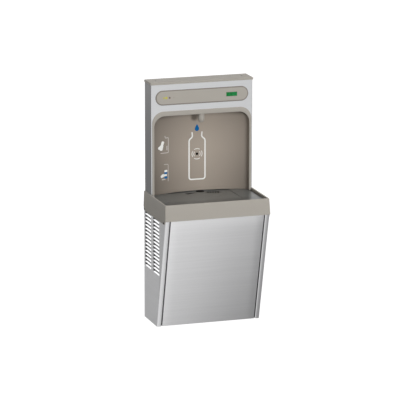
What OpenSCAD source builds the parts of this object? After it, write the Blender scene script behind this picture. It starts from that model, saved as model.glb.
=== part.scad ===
// Wall-hung bottle filling station: a refrigerated, hands-free bottle filler
// above a shallow drip basin on a tapered, louvered cabinet.
// Frame: origin on the wall plane, on the centre line, level with the cabinet's
// underside. +X to the right, +Y into the wall, +Z up. The front faces -Y.

/* [Overall] */
// Height from the cabinet's underside to the lower edge of the basin's front
cabinet_h = 489.5; // [480:0.5:520]
// Height of the basin's front, from its lower edge to its rim
basin_h = 69; // [64:1:80]
// Height of the filler's stainless front above the basin's rim
filler_h = 475.5; // [470:0.5:500]
// Height of the top cover's skirt
cover_h = 10; // [8:0.5:14]

/* [Filler] */
// Width of the stainless wrapper
filler_w = 454; // [448:1:458]
// Depth of the wrapper, wall to front face
filler_d = 90; // [88:0.5:100]
// Width of the alcove, between the inner edges of its rim
alcove_w = 426; // [410:1:428]
// Height of the alcove, from the basin's rim to the inner edge of its top
alcove_h = 338.5; // [320:0.5:345]
// Radius in plan of the alcove's curved back wall
alcove_wall_r = 520; // [500:5:560]
// Depth of the alcove on the centre line, front face to back wall
alcove_d = 69; // [64:0.5:72]
// Width of the visor panel across the top of the front
visor_w = 415; // [380:1:418]
// Height of the visor panel
visor_h = 64; // [56:1:68]

/* [Basin] */
// Width of the basin at its rim
basin_top_w = 463.6; // [460:0.2:470]
// Width of the basin at its lower edge
basin_bot_w = 469.3; // [468:0.2:478]
// Depth of the basin at its rim
basin_top_d = 303.6; // [300:0.2:308]
// Depth of the basin at its lower edge
basin_bot_d = 311.3; // [310.5:0.2:316]
// How far the basin's sides hang below its front
skirt_drop = 15; // [10:0.5:20]
// Radius of the drain strainer's flange
strainer_r = 34; // [30:0.5:35]

/* [Cabinet] */
// Width across the side panels
cabinet_w = 460.4; // [456:0.2:461]
// Depth of the cabinet at the lower edge of the basin
cabinet_d_top = 306; // [304:0.2:307]
// Depth of the cabinet at its underside
cabinet_d_bot = 178.8; // [176:0.2:190]
// Width of the side panel's flange beside the front panel
flange_w = 16.7; // [14:0.1:20]
// Width of the open seam between that flange and the front panel
seam_w = 6; // [4:0.1:8]
// Number of louvers in each column
louver_rows = 15; // [8:1:15]
// Height from one louver to the next
louver_pitch = 16.2; // [15:0.1:16.4]
// Length of one louver
louver_len = 84; // [70:1:88]

/* [Hidden] */
$fn = 64;

// Sheet and moulding thicknesses, and clearances
sheet_t = 1.2;
back_t = 1.2;
base_t = 1.5;
plastic_t = 3;
fit_gap = 0.3;
hair_gap = 0.1;
running_gap = 0.05;
cut_over = 5;

// Heights of the main joints between the casings
z_skirt = cabinet_h - skirt_drop;
z_rim = cabinet_h + basin_h;
z_wrap = z_rim + filler_h;
z_top = z_wrap + cover_h;

// Half widths
half_cab = cabinet_w / 2;
half_fill = filler_w / 2;

// Slope of the cabinet's front, in depth per height
front_slope = (cabinet_d_top - cabinet_d_bot) / cabinet_h;
slant = sqrt(1 + front_slope * front_slope);
function front_y(z) = -(cabinet_d_bot + front_slope * z);
// Horizontal thickness of a sheet that lies in the sloped front
skin_t = sheet_t * slant;

// Colours, as the photograph shows them
c_steel = [0.80, 0.80, 0.81];
c_galv = [0.62, 0.64, 0.66];
c_taupe = [0.64, 0.62, 0.59];
c_bowl = [0.42, 0.42, 0.41];
c_black = [0.06, 0.06, 0.06];
c_copper = [0.72, 0.43, 0.26];
c_brass = [0.74, 0.60, 0.30];
c_white = [0.90, 0.90, 0.88];
c_blue = [0.10, 0.35, 0.62];
c_green = [0.12, 0.50, 0.24];

// A box between two corners
module span(a, b) {
  translate(a) cube([b[0] - a[0], b[1] - a[1], b[2] - a[2]]);
}

// An outline in [y, z] carried along X, and one in [x, z] carried along Y
module along_x(x0, x1) {
  translate([x0, 0, 0]) rotate([90, 0, 90]) linear_extrude(height = x1 - x0) children();
}
module along_y(y0, y1) {
  translate([0, y1, 0]) rotate([90, 0, 0]) linear_extrude(height = y1 - y0) children();
}

// A cylinder from y0 to y1 about an axis parallel to Y
module rod_y(x, z, r, y0, y1) {
  translate([x, y1, z]) rotate([90, 0, 0]) cylinder(r = r, h = y1 - y0);
}
module rod_x(y, z, r, x0, x1) {
  translate([x0, y, z]) rotate([0, 90, 0]) cylinder(r = r, h = x1 - x0);
}
module rod_z(x, y, r, z0, z1) {
  translate([x, y, z0]) cylinder(r = r, h = z1 - z0);
}

// A rectangle with round corners, about its centre
module round_rect(w, h, r) {
  square([w - 2 * r, h], center = true);
  square([w, h - 2 * r], center = true);
  for (sx = [-1, 1], sy = [-1, 1])
    translate([sx * (w / 2 - r), sy * (h / 2 - r)]) circle(r = r);
}

// An arch that stands on z0: straight sides and a top with round corners
module arch(half_w, z0, z1, r) {
  translate([-half_w, z0]) square([2 * half_w, z1 - r - z0]);
  translate([-(half_w - r), z0]) square([2 * (half_w - r), z1 - z0]);
  for (sx = [-1, 1]) translate([sx * (half_w - r), z1 - r]) circle(r = r);
}

// A tube along straight runs that turn square corners with round elbows
function unit(a, b) = (b - a) / norm(b - a);
module placed(x, y, z, o) {
  multmatrix([[x[0], y[0], z[0], o[0]], [x[1], y[1], z[1], o[1]],
              [x[2], y[2], z[2], o[2]], [0, 0, 0, 1]]) children();
}
module pipe(path, r, bend) {
  last = len(path) - 1;
  for (i = [0 : last - 1]) {
    d = unit(path[i], path[i + 1]);
    side = [d[1], d[2], d[0]];
    from = path[i] + (i > 0 ? bend : 0) * d;
    to = path[i + 1] - (i < last - 1 ? bend : 0) * d;
    placed(side, cross(d, side), d, from) cylinder(r = r, h = norm(to - from));
  }
  for (i = [1 : 1 : last - 1]) {
    u = unit(path[i - 1], path[i]);
    v = unit(path[i], path[i + 1]);
    placed(-v, u, cross(u, v), path[i] - bend * u + bend * v)
      rotate_extrude(angle = 90) translate([bend, 0]) circle(r = r);
  }
}

// A pan-head screw that points up: the head's top face is at the origin
module pan_screw(head_r, head_t, shank_r, shank_l) {
  translate([0, 0, -head_t]) cylinder(r1 = head_r * screw_crown_share, r2 = head_r, h = head_t);
  cylinder(r = shank_r, h = shank_l);
}
screw_crown_share = 0.8;

// Filler: back plate
bolt_r = 4.25;
filler_bolt_dx = 406.4;
filler_bolt_dz = 381;
filler_bolt_z0 = 62;
filler_back_foot = 2.5;
back_foot_in = 2.5;
z_wrap_top = z_top - plastic_t;
module filler_back() {
  back_foot_half = half_fill - back_foot_in;
  color(c_galv) difference() {
    union() {
      span([-half_fill + sheet_t, -back_t, z_rim + fit_gap], [half_fill - sheet_t, 0, z_wrap_top]);
      span([-back_foot_half, -back_t, cabinet_h + filler_back_foot], [back_foot_half, 0, z_wrap]);
    }
    for (sx = [-1, 1], k = [0, 1])
      rod_y(sx * filler_bolt_dx / 2, z_rim + filler_bolt_z0 + k * filler_bolt_dz,
            bolt_r, -back_t - cut_over, cut_over);
  }
}

// Filler: stainless wrapper, a folded sheet with rear returns, tabs for the
// cover's screws and cut-outs for the alcove, the display and the lamps
bend_r = 3;
rear_return = 13;
rim_cover = 3;
rim_side = 9.5;
rim_top = 21;
rim_outer_r = 52;
tab_w = 34;
tab_d = 30;
cover_screw_in = 34;
cover_screw_y = -43.5;
screw_hole_r = 2.6;
half_alcove = alcove_w / 2;
z_alcove = z_rim + alcove_h;
cut_r = rim_outer_r - rim_cover;
cover_screw_x = half_fill - cover_screw_in;
module wrapper_section() {
  difference() {
    union() {
      translate([-half_fill, -filler_d + bend_r]) square([filler_w, filler_d - bend_r]);
      translate([-half_fill + bend_r, -filler_d]) square([filler_w - 2 * bend_r, bend_r]);
      for (sx = [-1, 1]) translate([sx * (half_fill - bend_r), -filler_d + bend_r]) circle(r = bend_r);
    }
    difference() {
      union() {
        translate([-half_fill + sheet_t, -filler_d + bend_r])
          square([filler_w - 2 * sheet_t, filler_d - bend_r - back_t - sheet_t]);
        translate([-half_fill + bend_r, -filler_d + sheet_t])
          square([filler_w - 2 * bend_r, bend_r]);
        for (sx = [-1, 1])
          translate([sx * (half_fill - bend_r), -filler_d + bend_r]) circle(r = bend_r - sheet_t);
      }
    }
    translate([-half_fill + rear_return, -back_t - sheet_t - cut_over])
      square([filler_w - 2 * rear_return, 2 * cut_over + sheet_t + back_t]);
    translate([-half_fill + sheet_t, -back_t]) square([filler_w - 2 * sheet_t, back_t + cut_over]);
  }
}
module filler_wrapper() {
  color(c_steel) {
    difference() {
      translate([0, 0, z_rim]) linear_extrude(height = z_wrap_top - z_rim) wrapper_section();
      along_y(-filler_d - cut_over, -filler_d + cut_over)
        arch(half_alcove + rim_side - rim_cover, z_rim - cut_over,
             z_alcove + rim_top - rim_cover, cut_r);
      along_y(-filler_d - cut_over, -filler_d + cut_over) translate([window_x, visor_z])
        square([window_w + 2 * fit_gap, window_h + 2 * fit_gap], center = true);
      along_y(-filler_d - cut_over, -filler_d + cut_over) translate([lamp_mid_x, visor_z])
        round_rect(lamp_slot_w, lamp_slot_h, lamp_slot_h * round_end_share);
    }
    for (sx = [-1, 1]) difference() {
      translate([sx * (half_fill - sheet_t / 2 - tab_w / 2), cover_screw_y, z_wrap_top - sheet_t / 2])
        cube([tab_w, tab_d, sheet_t], center = true);
      rod_z(sx * cover_screw_x, cover_screw_y, screw_hole_r,
            z_wrap_top - sheet_t - cut_over, z_wrap_top + cut_over);
    }
  }
}
round_end_share = 0.45;

// Filler: moulded top cover that caps the wrapper, with two countersunk dimples
cover_over = 2.4;
cover_edge_r = 2;
dimple_r = 6;
dimple_depth = 1.4;
cover_half = half_fill + cover_over;
cover_front = -filler_d - cover_over;
module cover_blank(inset, z0, z1) {
  span([-cover_half + inset, cover_front + inset, z0], [cover_half - inset, 0, z1]);
}
module top_cover() {
  color(c_taupe) difference() {
    union() {
      cover_blank(0, z_wrap, z_top - cover_edge_r);
      cover_blank(cover_edge_r, z_wrap, z_top);
      for (sx = [-1, 1])
        rod_y(sx * (cover_half - cover_edge_r), z_top - cover_edge_r, cover_edge_r,
              cover_front + cover_edge_r, 0);
      rod_x(cover_front + cover_edge_r, z_top - cover_edge_r, cover_edge_r,
            -cover_half + cover_edge_r, cover_half - cover_edge_r);
      for (sx = [-1, 1])
        translate([sx * (cover_half - cover_edge_r), cover_front + cover_edge_r, z_top - cover_edge_r])
          sphere(r = cover_edge_r);
    }
    span([-half_fill - fit_gap, -filler_d - fit_gap, z_wrap - cut_over],
         [half_fill + fit_gap, cut_over, z_top - plastic_t]);
    for (sx = [-1, 1]) {
      rod_z(sx * cover_screw_x, cover_screw_y, screw_hole_r, z_wrap, z_top + cut_over);
      translate([sx * cover_screw_x, cover_screw_y, z_top - dimple_depth])
        cylinder(r1 = dimple_r - dimple_depth, r2 = dimple_r, h = dimple_depth);
    }
  }
}
cover_screw_l = 7;
cover_head_r = 4.2;
cover_head_t = 1.1;
cover_shank_r = 2.1;
module cover_screws() {
  color(c_steel) for (sx = [-1, 1])
    translate([sx * cover_screw_x, cover_screw_y, z_top - dimple_depth])
      mirror([0, 0, 1]) pan_screw(cover_head_r, cover_head_t, cover_shank_r, cover_screw_l);
}

// Filler: visor panel, a pill-shaped moulding with a bevelled edge
visor_drop = 57.5;
visor_proud = 2.6;
visor_bevel = 1.6;
visor_z = z_wrap - visor_drop;
window_x = 132.6;
window_w = 48.7;
window_h = 17.8;
window_seat = 2.2;
window_t = 1.6;
lamp_r = 2.5;
lamp_x0 = -170.3;
lamp_x1 = -159.8;
lamp_x2 = -145.2;
lamp_x3 = -126.1;
lamp_x = [lamp_x0, lamp_x1, lamp_x2, lamp_x3];
lamp_mid_x = (lamp_x0 + lamp_x3) / 2;
lamp_slot_w = 62;
lamp_slot_h = 16;
module pill_plate(w, h, inset, y0, y1) {
  for (sx = [-1, 1]) rod_y(sx * (w - h) / 2, visor_z, h / 2 - inset, y0, y1);
  span([-(w - h) / 2, y0, visor_z - h / 2 + inset], [(w - h) / 2, y1, visor_z + h / 2 - inset]);
}
module visor_panel() {
  face = -filler_d - visor_proud;
  color(c_taupe) difference() {
    union() {
      pill_plate(visor_w, visor_h, 0, face + visor_bevel, -filler_d);
      pill_plate(visor_w, visor_h, visor_bevel, face, -filler_d);
      for (sx = [-1, 1])
        translate([sx * (visor_w - visor_h) / 2, face + visor_bevel, visor_z]) rotate([90, 0, 0])
          cylinder(r1 = visor_h / 2, r2 = visor_h / 2 - visor_bevel, h = visor_bevel);
      along_x(-(visor_w - visor_h) / 2, (visor_w - visor_h) / 2) polygon([
        [face + visor_bevel, visor_z - visor_h / 2],
        [face, visor_z - visor_h / 2 + visor_bevel],
        [face, visor_z + visor_h / 2 - visor_bevel],
        [face + visor_bevel, visor_z + visor_h / 2]]);
    }
    along_y(face - cut_over, cut_over - filler_d) translate([window_x, visor_z])
      square([window_w + 2 * hair_gap, window_h + 2 * hair_gap], center = true);
    for (x = lamp_x) rod_y(x, visor_z, lamp_r + hair_gap, face - cut_over, -filler_d + cut_over);
  }
}
module display_window() {
  face = -filler_d - visor_proud;
  color(c_green) {
    along_y(face + visor_bevel / 2, -filler_d + sheet_t) translate([window_x, visor_z])
      square([window_w, window_h], center = true);
    along_y(-filler_d + sheet_t, -filler_d + sheet_t + window_t) translate([window_x, visor_z])
      square([window_w + 2 * window_seat, window_h + 2 * window_seat], center = true);
  }
}
board_w = 74;
board_h = 40;
board_t = 1.6;
chip_w = 16;
chip_t = 2.4;
board_post_r = 3;
board_margin = 5;
module display_board() {
  y_front = -filler_d + sheet_t + window_t;
  color([0.10, 0.32, 0.18]) {
    along_y(y_front + fit_gap, y_front + fit_gap + board_t) translate([window_x, visor_z])
      square([board_w, board_h], center = true);
    along_y(y_front + fit_gap + board_t, y_front + fit_gap + board_t + chip_t)
      translate([window_x, visor_z]) square([chip_w, chip_w], center = true);
    for (sx = [-1, 1], sz = [-1, 1])
      rod_y(window_x + sx * (board_w / 2 - board_margin), visor_z + sz * (board_h / 2 - board_margin),
            board_post_r, -filler_d + sheet_t, y_front + fit_gap);
  }
}
lens_dome = 0.9;
lens_carrier_t = 2;
module indicator_lenses() {
  face = -filler_d - visor_proud;
  color([0.75, 0.78, 0.20]) {
    for (x = lamp_x) {
      rod_y(x, visor_z, lamp_r, face, -filler_d + sheet_t + lens_carrier_t);
      intersection() {
        translate([x, face + lamp_r - lens_dome, visor_z]) sphere(r = lamp_r);
        rod_y(x, visor_z, lamp_r, face - lens_dome, face);
      }
    }
    along_y(-filler_d + sheet_t, -filler_d + sheet_t + lens_carrier_t)
      translate([lamp_mid_x, visor_z])
          square([lamp_slot_w + lamp_slot_h, lamp_slot_h + lamp_slot_h / 2], center = true);
  }
}

// Filler: moulded alcove liner, a concave back wall between two straight
// cheeks, a flat ceiling and a raised rim that laps over the stainless front
rim_proud = 1.8;
rim_inner_r = 47;
foot_drop = 9;
lip_h = 6.5;
lip_proud = 1.6;
wall_corner_r = 24;
arch_over = 0.8;
blend_over = 0.1;
nozzle_y_share = 0.16;
sensor_up = 151;
sensor_z = z_rim + sensor_up;
wall_y = -filler_d + alcove_d;
wall_cy = wall_y - alcove_wall_r;
z_foot = z_rim - foot_drop;
// Plan of the hollow, grown outwards by g
module alcove_plan(g) {
  hw = half_alcove + g;
  big = alcove_wall_r + g;
  cr = wall_corner_r + g;
  cx = hw - cr;
  cy = wall_cy + sqrt((big - cr) * (big - cr) - cx * cx) + blend_over;
  tx = cx * big / (big - cr);
  translate([-hw, -filler_d - rim_proud - cut_over])
    square([2 * hw, cy + filler_d + rim_proud + cut_over]);
  for (sx = [-1, 1]) translate([sx * cx, cy]) circle(r = cr);
  intersection() {
    translate([0, wall_cy]) circle(r = big, $fn = 256);
    translate([-tx, cy - cr]) square([2 * tx, alcove_wall_r]);
  }
}
module alcove_hollow(g, z0, z1, r) {
  intersection() {
    translate([0, 0, z0]) linear_extrude(height = z1 + g - z0) alcove_plan(g);
    along_y(-filler_d - rim_proud - cut_over, 0) arch(half_alcove + g + arch_over, z0, z1 + g, r + g);
  }
}
module alcove_liner() {
  color(c_taupe) difference() {
    union() {
      intersection() {
        alcove_hollow(plastic_t, z_foot, z_alcove, rim_inner_r);
        span([-half_fill, -filler_d, z_foot], [half_fill, 0, z_wrap]);
      }
      along_y(-filler_d - rim_proud, -filler_d)
        arch(half_alcove + rim_side, z_foot, z_alcove + rim_top, rim_outer_r);
    }
    alcove_hollow(0, z_foot + lip_h, z_alcove, rim_inner_r);
    translate([0, 0, z_foot - cut_over]) linear_extrude(height = lip_h + cut_over)
        alcove_plan(-lip_proud);
    rod_z(0, nozzle_y, nozzle_neck_r + fit_gap, z_alcove - cut_over, z_alcove + plastic_t + cut_over);
    rod_y(0, sensor_z, sensor_r + hair_gap, wall_y - cut_over, cut_over);
  }
}

// Filler: outlet nozzle, its nut and the straightener in its mouth
nozzle_r = 14.5;
nozzle_l = 37;
nozzle_mouth_r = 9.5;
nozzle_taper = 11;
nozzle_neck_r = 9;
nozzle_neck_l = 22;
straight_l = 8;
straight_r = 7.2;
straight_hole_r = 1;
nozzle_y = -filler_d + nozzle_y_share * filler_d;
nozzle_z = z_alcove - nozzle_l;
module nozzle() {
  color(c_taupe) translate([0, nozzle_y, nozzle_z]) rotate_extrude() polygon([
    [straight_r + hair_gap, 0], [nozzle_mouth_r, 0], [nozzle_r - nozzle_taper / 4, nozzle_taper / 2],
    [nozzle_r, nozzle_taper], [nozzle_r, nozzle_l], [nozzle_neck_r, nozzle_l],
    [nozzle_neck_r, nozzle_l + nozzle_neck_l], [nozzle_bore_r, nozzle_l + nozzle_neck_l],
    [nozzle_bore_r, straight_l], [straight_r + hair_gap, straight_l]]);
}
nut_r = 16;
nut_t = 7;
module nozzle_nut() {
  color(c_white) translate([0, nozzle_y, z_alcove + plastic_t]) difference() {
    cylinder(r = nut_r, h = nut_t, $fn = 6);
    translate([0, 0, -cut_over]) cylinder(r = nozzle_neck_r + hair_gap, h = nut_t + 2 * cut_over);
  }
}
straight_ring_share = 0.58;
module flow_straightener() {
  color(c_white) translate([0, nozzle_y, nozzle_z]) difference() {
    cylinder(r = straight_r, h = straight_l);
    translate([0, 0, -cut_over]) cylinder(r = straight_hole_r, h = straight_l + 2 * cut_over);
    for (k = [0 : 5]) rotate([0, 0, 60 * k]) translate([straight_r * straight_ring_share, 0, -cut_over])
      cylinder(r = straight_hole_r, h = straight_l + 2 * cut_over);
  }
}

// Filler: presence sensor behind the back wall
sensor_r = 5.6;
sensor_flange_r = 9;
sensor_flange_t = 2;
sensor_w = 44;
sensor_h = 52;
sensor_skin = 2;
sensor_front = wall_y + plastic_t + hair_gap;
module sensor_window() {
  color(c_black) {
    rod_y(0, sensor_z, sensor_r, wall_y - hair_gap, sensor_front + sensor_flange_t);
    rod_y(0, sensor_z, sensor_flange_r, sensor_front, sensor_front + sensor_flange_t);
  }
}
module sensor_housing() {
  color(c_black) difference() {
    along_y(sensor_front + sensor_flange_t, -back_t) translate([0, sensor_z])
      round_rect(sensor_w, sensor_h, sensor_skin);
    along_y(sensor_front + sensor_flange_t + sensor_skin, -back_t + cut_over) translate([0, sensor_z])
      square([sensor_w - 2 * sensor_skin, sensor_h - 2 * sensor_skin], center = true);
  }
}

// Filler: solenoid valve that opens the water to the nozzle
valve_x = -120;
valve_y = -44;
valve_up = 46;
valve_z = z_alcove + valve_up;
valve_w = 44;
valve_dep = 30;
valve_h = 20;
guide_r = 6.4;
guide_bore_r = 5;
guide_l = 34;
guide_roof = 2;
plunger_travel = 3;
coil_r = 17;
coil_l = 28;
coil_plate_t = 2;
valve_foot_w = 26;
module valve_body() {
  color(c_brass) difference() {
    union() {
      translate([valve_x, valve_y, valve_z - valve_h / 2])
          cube([valve_w, valve_dep, valve_h], center = true);
      rod_z(valve_x, valve_y, guide_r, valve_z - cut_over, valve_z + guide_l);
      span([valve_x - valve_foot_w / 2, valve_y, valve_z - valve_h],
          [valve_x + valve_foot_w / 2, -back_t, valve_z - valve_h + plastic_t]);
      rod_x(valve_y, valve_z - valve_h / 2, tube_r + plastic_t, valve_x + valve_w / 2 - fit_gap,
          valve_x + valve_w / 2 + tube_socket);
      rod_x(valve_y, valve_z - valve_h / 2, tube_r + plastic_t, valve_x - valve_w / 2 - tube_socket,
          valve_x - valve_w / 2 + fit_gap);
    }
    rod_z(valve_x, valve_y, guide_bore_r, valve_z - plunger_seat, valve_z + guide_l - guide_roof);
    rod_x(valve_y, valve_z - valve_h / 2, tube_r + hair_gap, valve_x + valve_w / 2,
        valve_x + valve_w / 2 + tube_socket + cut_over);
    rod_x(valve_y, valve_z - valve_h / 2, tube_r + hair_gap,
        valve_x - valve_w / 2 - tube_socket - cut_over, valve_x - valve_w / 2);
  }
}
plunger_seat = 6;
module valve_coil() {
  color(c_black) translate([valve_x, valve_y, valve_z]) difference() {
    union() {
      cylinder(r = coil_r, h = coil_l);
      for (z = [0, coil_l - coil_plate_t]) translate([0, 0, z + coil_plate_t / 2])
        cube([2 * coil_r + coil_plate_t, 2 * coil_r + coil_plate_t, coil_plate_t], center = true);
    }
    translate([0, 0, -cut_over]) cylinder(r = guide_r + hair_gap, h = coil_l + 2 * cut_over);
  }
}
module valve_plunger() {
  color(c_steel) rod_z(valve_x, valve_y, guide_bore_r - running_gap,
                       valve_z - plunger_seat + hair_gap,
                       valve_z + guide_l - guide_roof - plunger_travel - fit_gap);
}

// Water tubes: 3/8 inch outside diameter
tube_r = 4.7625;
tube_wall = 1.2;
tube_bend = 11;
tube_socket = 8;
nozzle_bore_r = tube_r + hair_gap;
nozzle_insert = 10;
module water_tube(path) {
  difference() {
    pipe(path, tube_r, tube_bend);
    pipe(path, tube_r - tube_wall, tube_bend);
  }
}
module outlet_tube() {
  z0 = valve_z - valve_h / 2;
  color(c_white) water_tube([[valve_x + valve_w / 2 + hair_gap, valve_y, z0], [0, valve_y, z0],
    [0, nozzle_y, z0], [0, nozzle_y, z_alcove + nozzle_neck_l - nozzle_insert]]);
}

// Filler: sealed box for the control board and the power supply
box_side = 23.8;
box_w = 150;
box_h = 92;
box_d = 58;
box_foot_z = 14;
box_edge_r = 4;
box_lid_t = 3;
box_lid_over = 2;
box_x = half_fill - sheet_t - box_side - box_w;
module control_box() {
  z_mid = z_alcove + rim_top + box_foot_z + box_h / 2;
  color(c_black) {
    along_y(-back_t - box_d, -back_t) translate([box_x + box_w / 2, z_mid])
        round_rect(box_w, box_h, box_edge_r);
    along_y(-back_t - box_d - box_lid_t, -back_t - box_d) translate([box_x + box_w / 2, z_mid])
      round_rect(box_w + 2 * box_lid_over, box_h + 2 * box_lid_over, box_edge_r);
  }
}

// Basin: flared apron with a rolled rim, a ledge that carries the bowl and
// ledges that stand on the side panels
apron_t = 3;
rim_w = 7;
rim_depth = 15;
bowl_drop = 9.5;
bowl_t = 3;
ledge_t = 4;
ledge_w = 8;
skirt_rear = 3;
skirt_front = 12;
skirt_r = 10;
side_tuck = 2;
foot_ledge_w = 14;
foot_ledge_in = 40;
z_side_top = cabinet_h + side_tuck;
z_bowl = z_rim - bowl_drop;
z_ledge = z_bowl - bowl_t;
flare_w = (basin_bot_w - basin_top_w) / 2 / basin_h;
flare_d = (basin_bot_d - basin_top_d) / basin_h;
function basin_half(z) = basin_top_w / 2 + flare_w * (z_rim - z);
function basin_front(z) = -basin_top_d - flare_d * (z_rim - z);
// The basin's outer form between two heights, drawn in by g
module basin_form(z0, z1, g) {
  intersection() {
    along_x(-basin_bot_w, basin_bot_w) polygon([
      [cut_over, z0], [basin_front(z0) + g, z0], [basin_front(z1) + g, z1], [cut_over, z1]]);
    along_y(-basin_bot_d - cut_over, 0) polygon([
      [-basin_half(z0) + g, z0], [basin_half(z0) - g, z0], [basin_half(z1) - g, z1],
          [-basin_half(z1) + g, z1]]);
  }
}
module basin_apron() {
  skirt_l = basin_bot_d - skirt_rear - skirt_front;
  color(c_taupe) {
    difference() {
      basin_form(cabinet_h, z_rim, 0);
      basin_form(cabinet_h - cut_over, z_rim - rim_depth, apron_t);
      basin_form(z_rim - rim_depth - cut_over, z_rim + cut_over, rim_w);
    }
    for (sx = [-1, 1]) intersection() {
      along_x(-basin_bot_w, basin_bot_w)
        translate([-skirt_rear - skirt_l / 2, z_skirt + skirt_drop])
            round_rect(skirt_l, 2 * skirt_drop, skirt_r);
      translate([sx * (basin_bot_w - apron_t) / 2, -basin_bot_d / 2, cabinet_h - skirt_drop / 2])
        cube([apron_t, basin_bot_d, skirt_drop], center = true);
    }
    difference() {
      basin_form(z_ledge - ledge_t, z_ledge, apron_t);
      basin_form(z_ledge - ledge_t - cut_over, z_ledge + cut_over, rim_w + ledge_w);
      span([-basin_bot_w, -slot_y1, z_ledge - ledge_t - cut_over],
          [basin_bot_w, cut_over, z_ledge + cut_over]);
    }
    for (sx = [-1, 1]) difference() {
      intersection() {
        basin_form(z_side_top, z_side_top + apron_t, apron_t / 2);
        translate([sx * (basin_bot_w / 2 - foot_ledge_w / 2), -basin_bot_d / 2, z_side_top + apron_t / 2])
          cube([foot_ledge_w, basin_bot_d - 2 * foot_ledge_in, apron_t], center = true);
      }
    }
  }
}

// Basin: shallow bowl of flat facets that fall to a drain near the back
slot_y0 = 60;
slot_y1 = 220;
slot_w = 8;
bowl_gap = 0.5;
bowl_rear = 12;
bowl_corner_w = 46;
bowl_corner_d = 40;
bowl_reach = 700;
facet_margin = 6;
drain_x = 55;
drain_y = -72;
plug_x = 10;
plug_y = -34;
plug_r = 14.5;
plug_sink = 3;
sump_depth = 6;
z_sump = z_bowl - sump_depth;
// The creases cross two lines of the floor, one near the drain and one near the front
near_y = -100;
far_y = -226;
near_depth = 2.4;
far_depth = 1.3;
left_near_x = -58.8;
left_far_x = -50.1;
right_near_x = 76.9;
right_far_x = 63;
wing_near_x = 211.4;
wing_far_x = 186;
wing_depth = 1.6;
wing_edge_x = 219;
groove_x0 = -69;
groove_x1 = -60;
groove_x2 = -2;
groove_y0 = -57;
groove_y1 = -78;
groove_y2 = -46;
groove_depth = 4.4;
// Rise per length of the plane through three points
function rise(p, q, r) = let (u = q - p, v = r - p, d = u[0] * v[1] - u[1] * v[0])
  [(u[2] * v[1] - v[2] * u[1]) / d, (u[0] * v[2] - v[0] * u[2]) / d];
// Everything above the plane through three points
module above(p, q, r, g) {
  k = rise(p, q, r);
  translate(p - [0, 0, g]) rotate([atan(k[1] * cos(atan(k[0]))), -atan(k[0]), 0])
    translate([-bowl_reach / 2, -bowl_reach / 2, 0]) cube(bowl_reach);
}
// One side's panel and wing: s is -1 for the left side
module side_planes(s, x_near, x_far, g) {
  a = [x_near, near_y, z_bowl - near_depth];
  b = [x_far, far_y, z_bowl - far_depth];
  c = [s * wing_near_x, near_y, z_bowl - wing_depth];
  k = rise(a, b, c);
  d = [s * wing_far_x, far_y, a[2] + k[0] * (s * wing_far_x - a[0]) + k[1] * (far_y - a[1])];
  intersection() {
    above(a, b, c, g);
    above(c, d, [s * wing_edge_x, far_y, z_bowl], g);
  }
}
module bowl_hollow(g) {
  half = basin_top_w / 2 - rim_w - facet_margin + g;
  front = -basin_top_d + rim_w + facet_margin - g;
  intersection() {
    above([left_near_x, near_y, z_bowl - near_depth], [right_near_x, near_y, z_bowl - near_depth],
          [left_far_x, far_y, z_bowl - far_depth], g);
    side_planes(-1, left_near_x, left_far_x, g);
    side_planes(1, right_near_x, right_far_x, g);
    span([-half, front, z_bowl - 4 * bowl_t], [half, -bowl_rear - facet_margin + g, z_bowl + cut_over]);
  }
}
module basin_bowl() {
  half = basin_top_w / 2 - rim_w - bowl_gap;
  under_half = basin_top_w / 2 - rim_w - ledge_w - fit_gap;
  color(c_bowl) difference() {
    union() {
      span([-half, -basin_top_d + rim_w + bowl_gap, z_ledge], [half, -bowl_rear, z_bowl]);
      intersection() {
        bowl_hollow(bowl_t);
        span([-under_half, -basin_top_d + rim_w + ledge_w + fit_gap, z_bowl - 4 * bowl_t],
            [under_half, 0, z_bowl]);
      }
      rod_z(drain_x, drain_y, barrel_r + gasket_w, z_sump - bowl_t, z_bowl - bowl_t);
      rod_z(plug_x, plug_y, plug_r + bowl_t, z_sump - bowl_t, z_bowl - bowl_t);
    }
    bowl_hollow(0);
    rod_z(drain_x, drain_y, strainer_r + fit_gap, z_sump, z_bowl + cut_over);
    rod_z(drain_x, drain_y, barrel_r + fit_gap, z_sump - cut_over, z_bowl + cut_over);
    rod_z(plug_x, plug_y, plug_r + hair_gap, z_sump - 2 * cut_over, z_bowl + cut_over);
    translate([0, 0, z_bowl - groove_depth]) linear_extrude(height = groove_depth + cut_over)
      polygon([[groove_x0, groove_y0], [groove_x1, groove_y1], [groove_x2, groove_y2]]);
    for (sx = [-1, 1]) {
      translate([sx * (half - slot_w / 2 + cut_over / 2), -(slot_y0 + slot_y1) / 2, z_bowl])
        cube([slot_w + cut_over, slot_y1 - slot_y0, 4 * cut_over], center = true);
      translate([sx * (half - bowl_corner_w / 2 + cut_over / 2), -bowl_corner_d / 2, z_bowl])
        cube([bowl_corner_w + cut_over, bowl_corner_d, 4 * cut_over], center = true);
    }
  }
}

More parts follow.
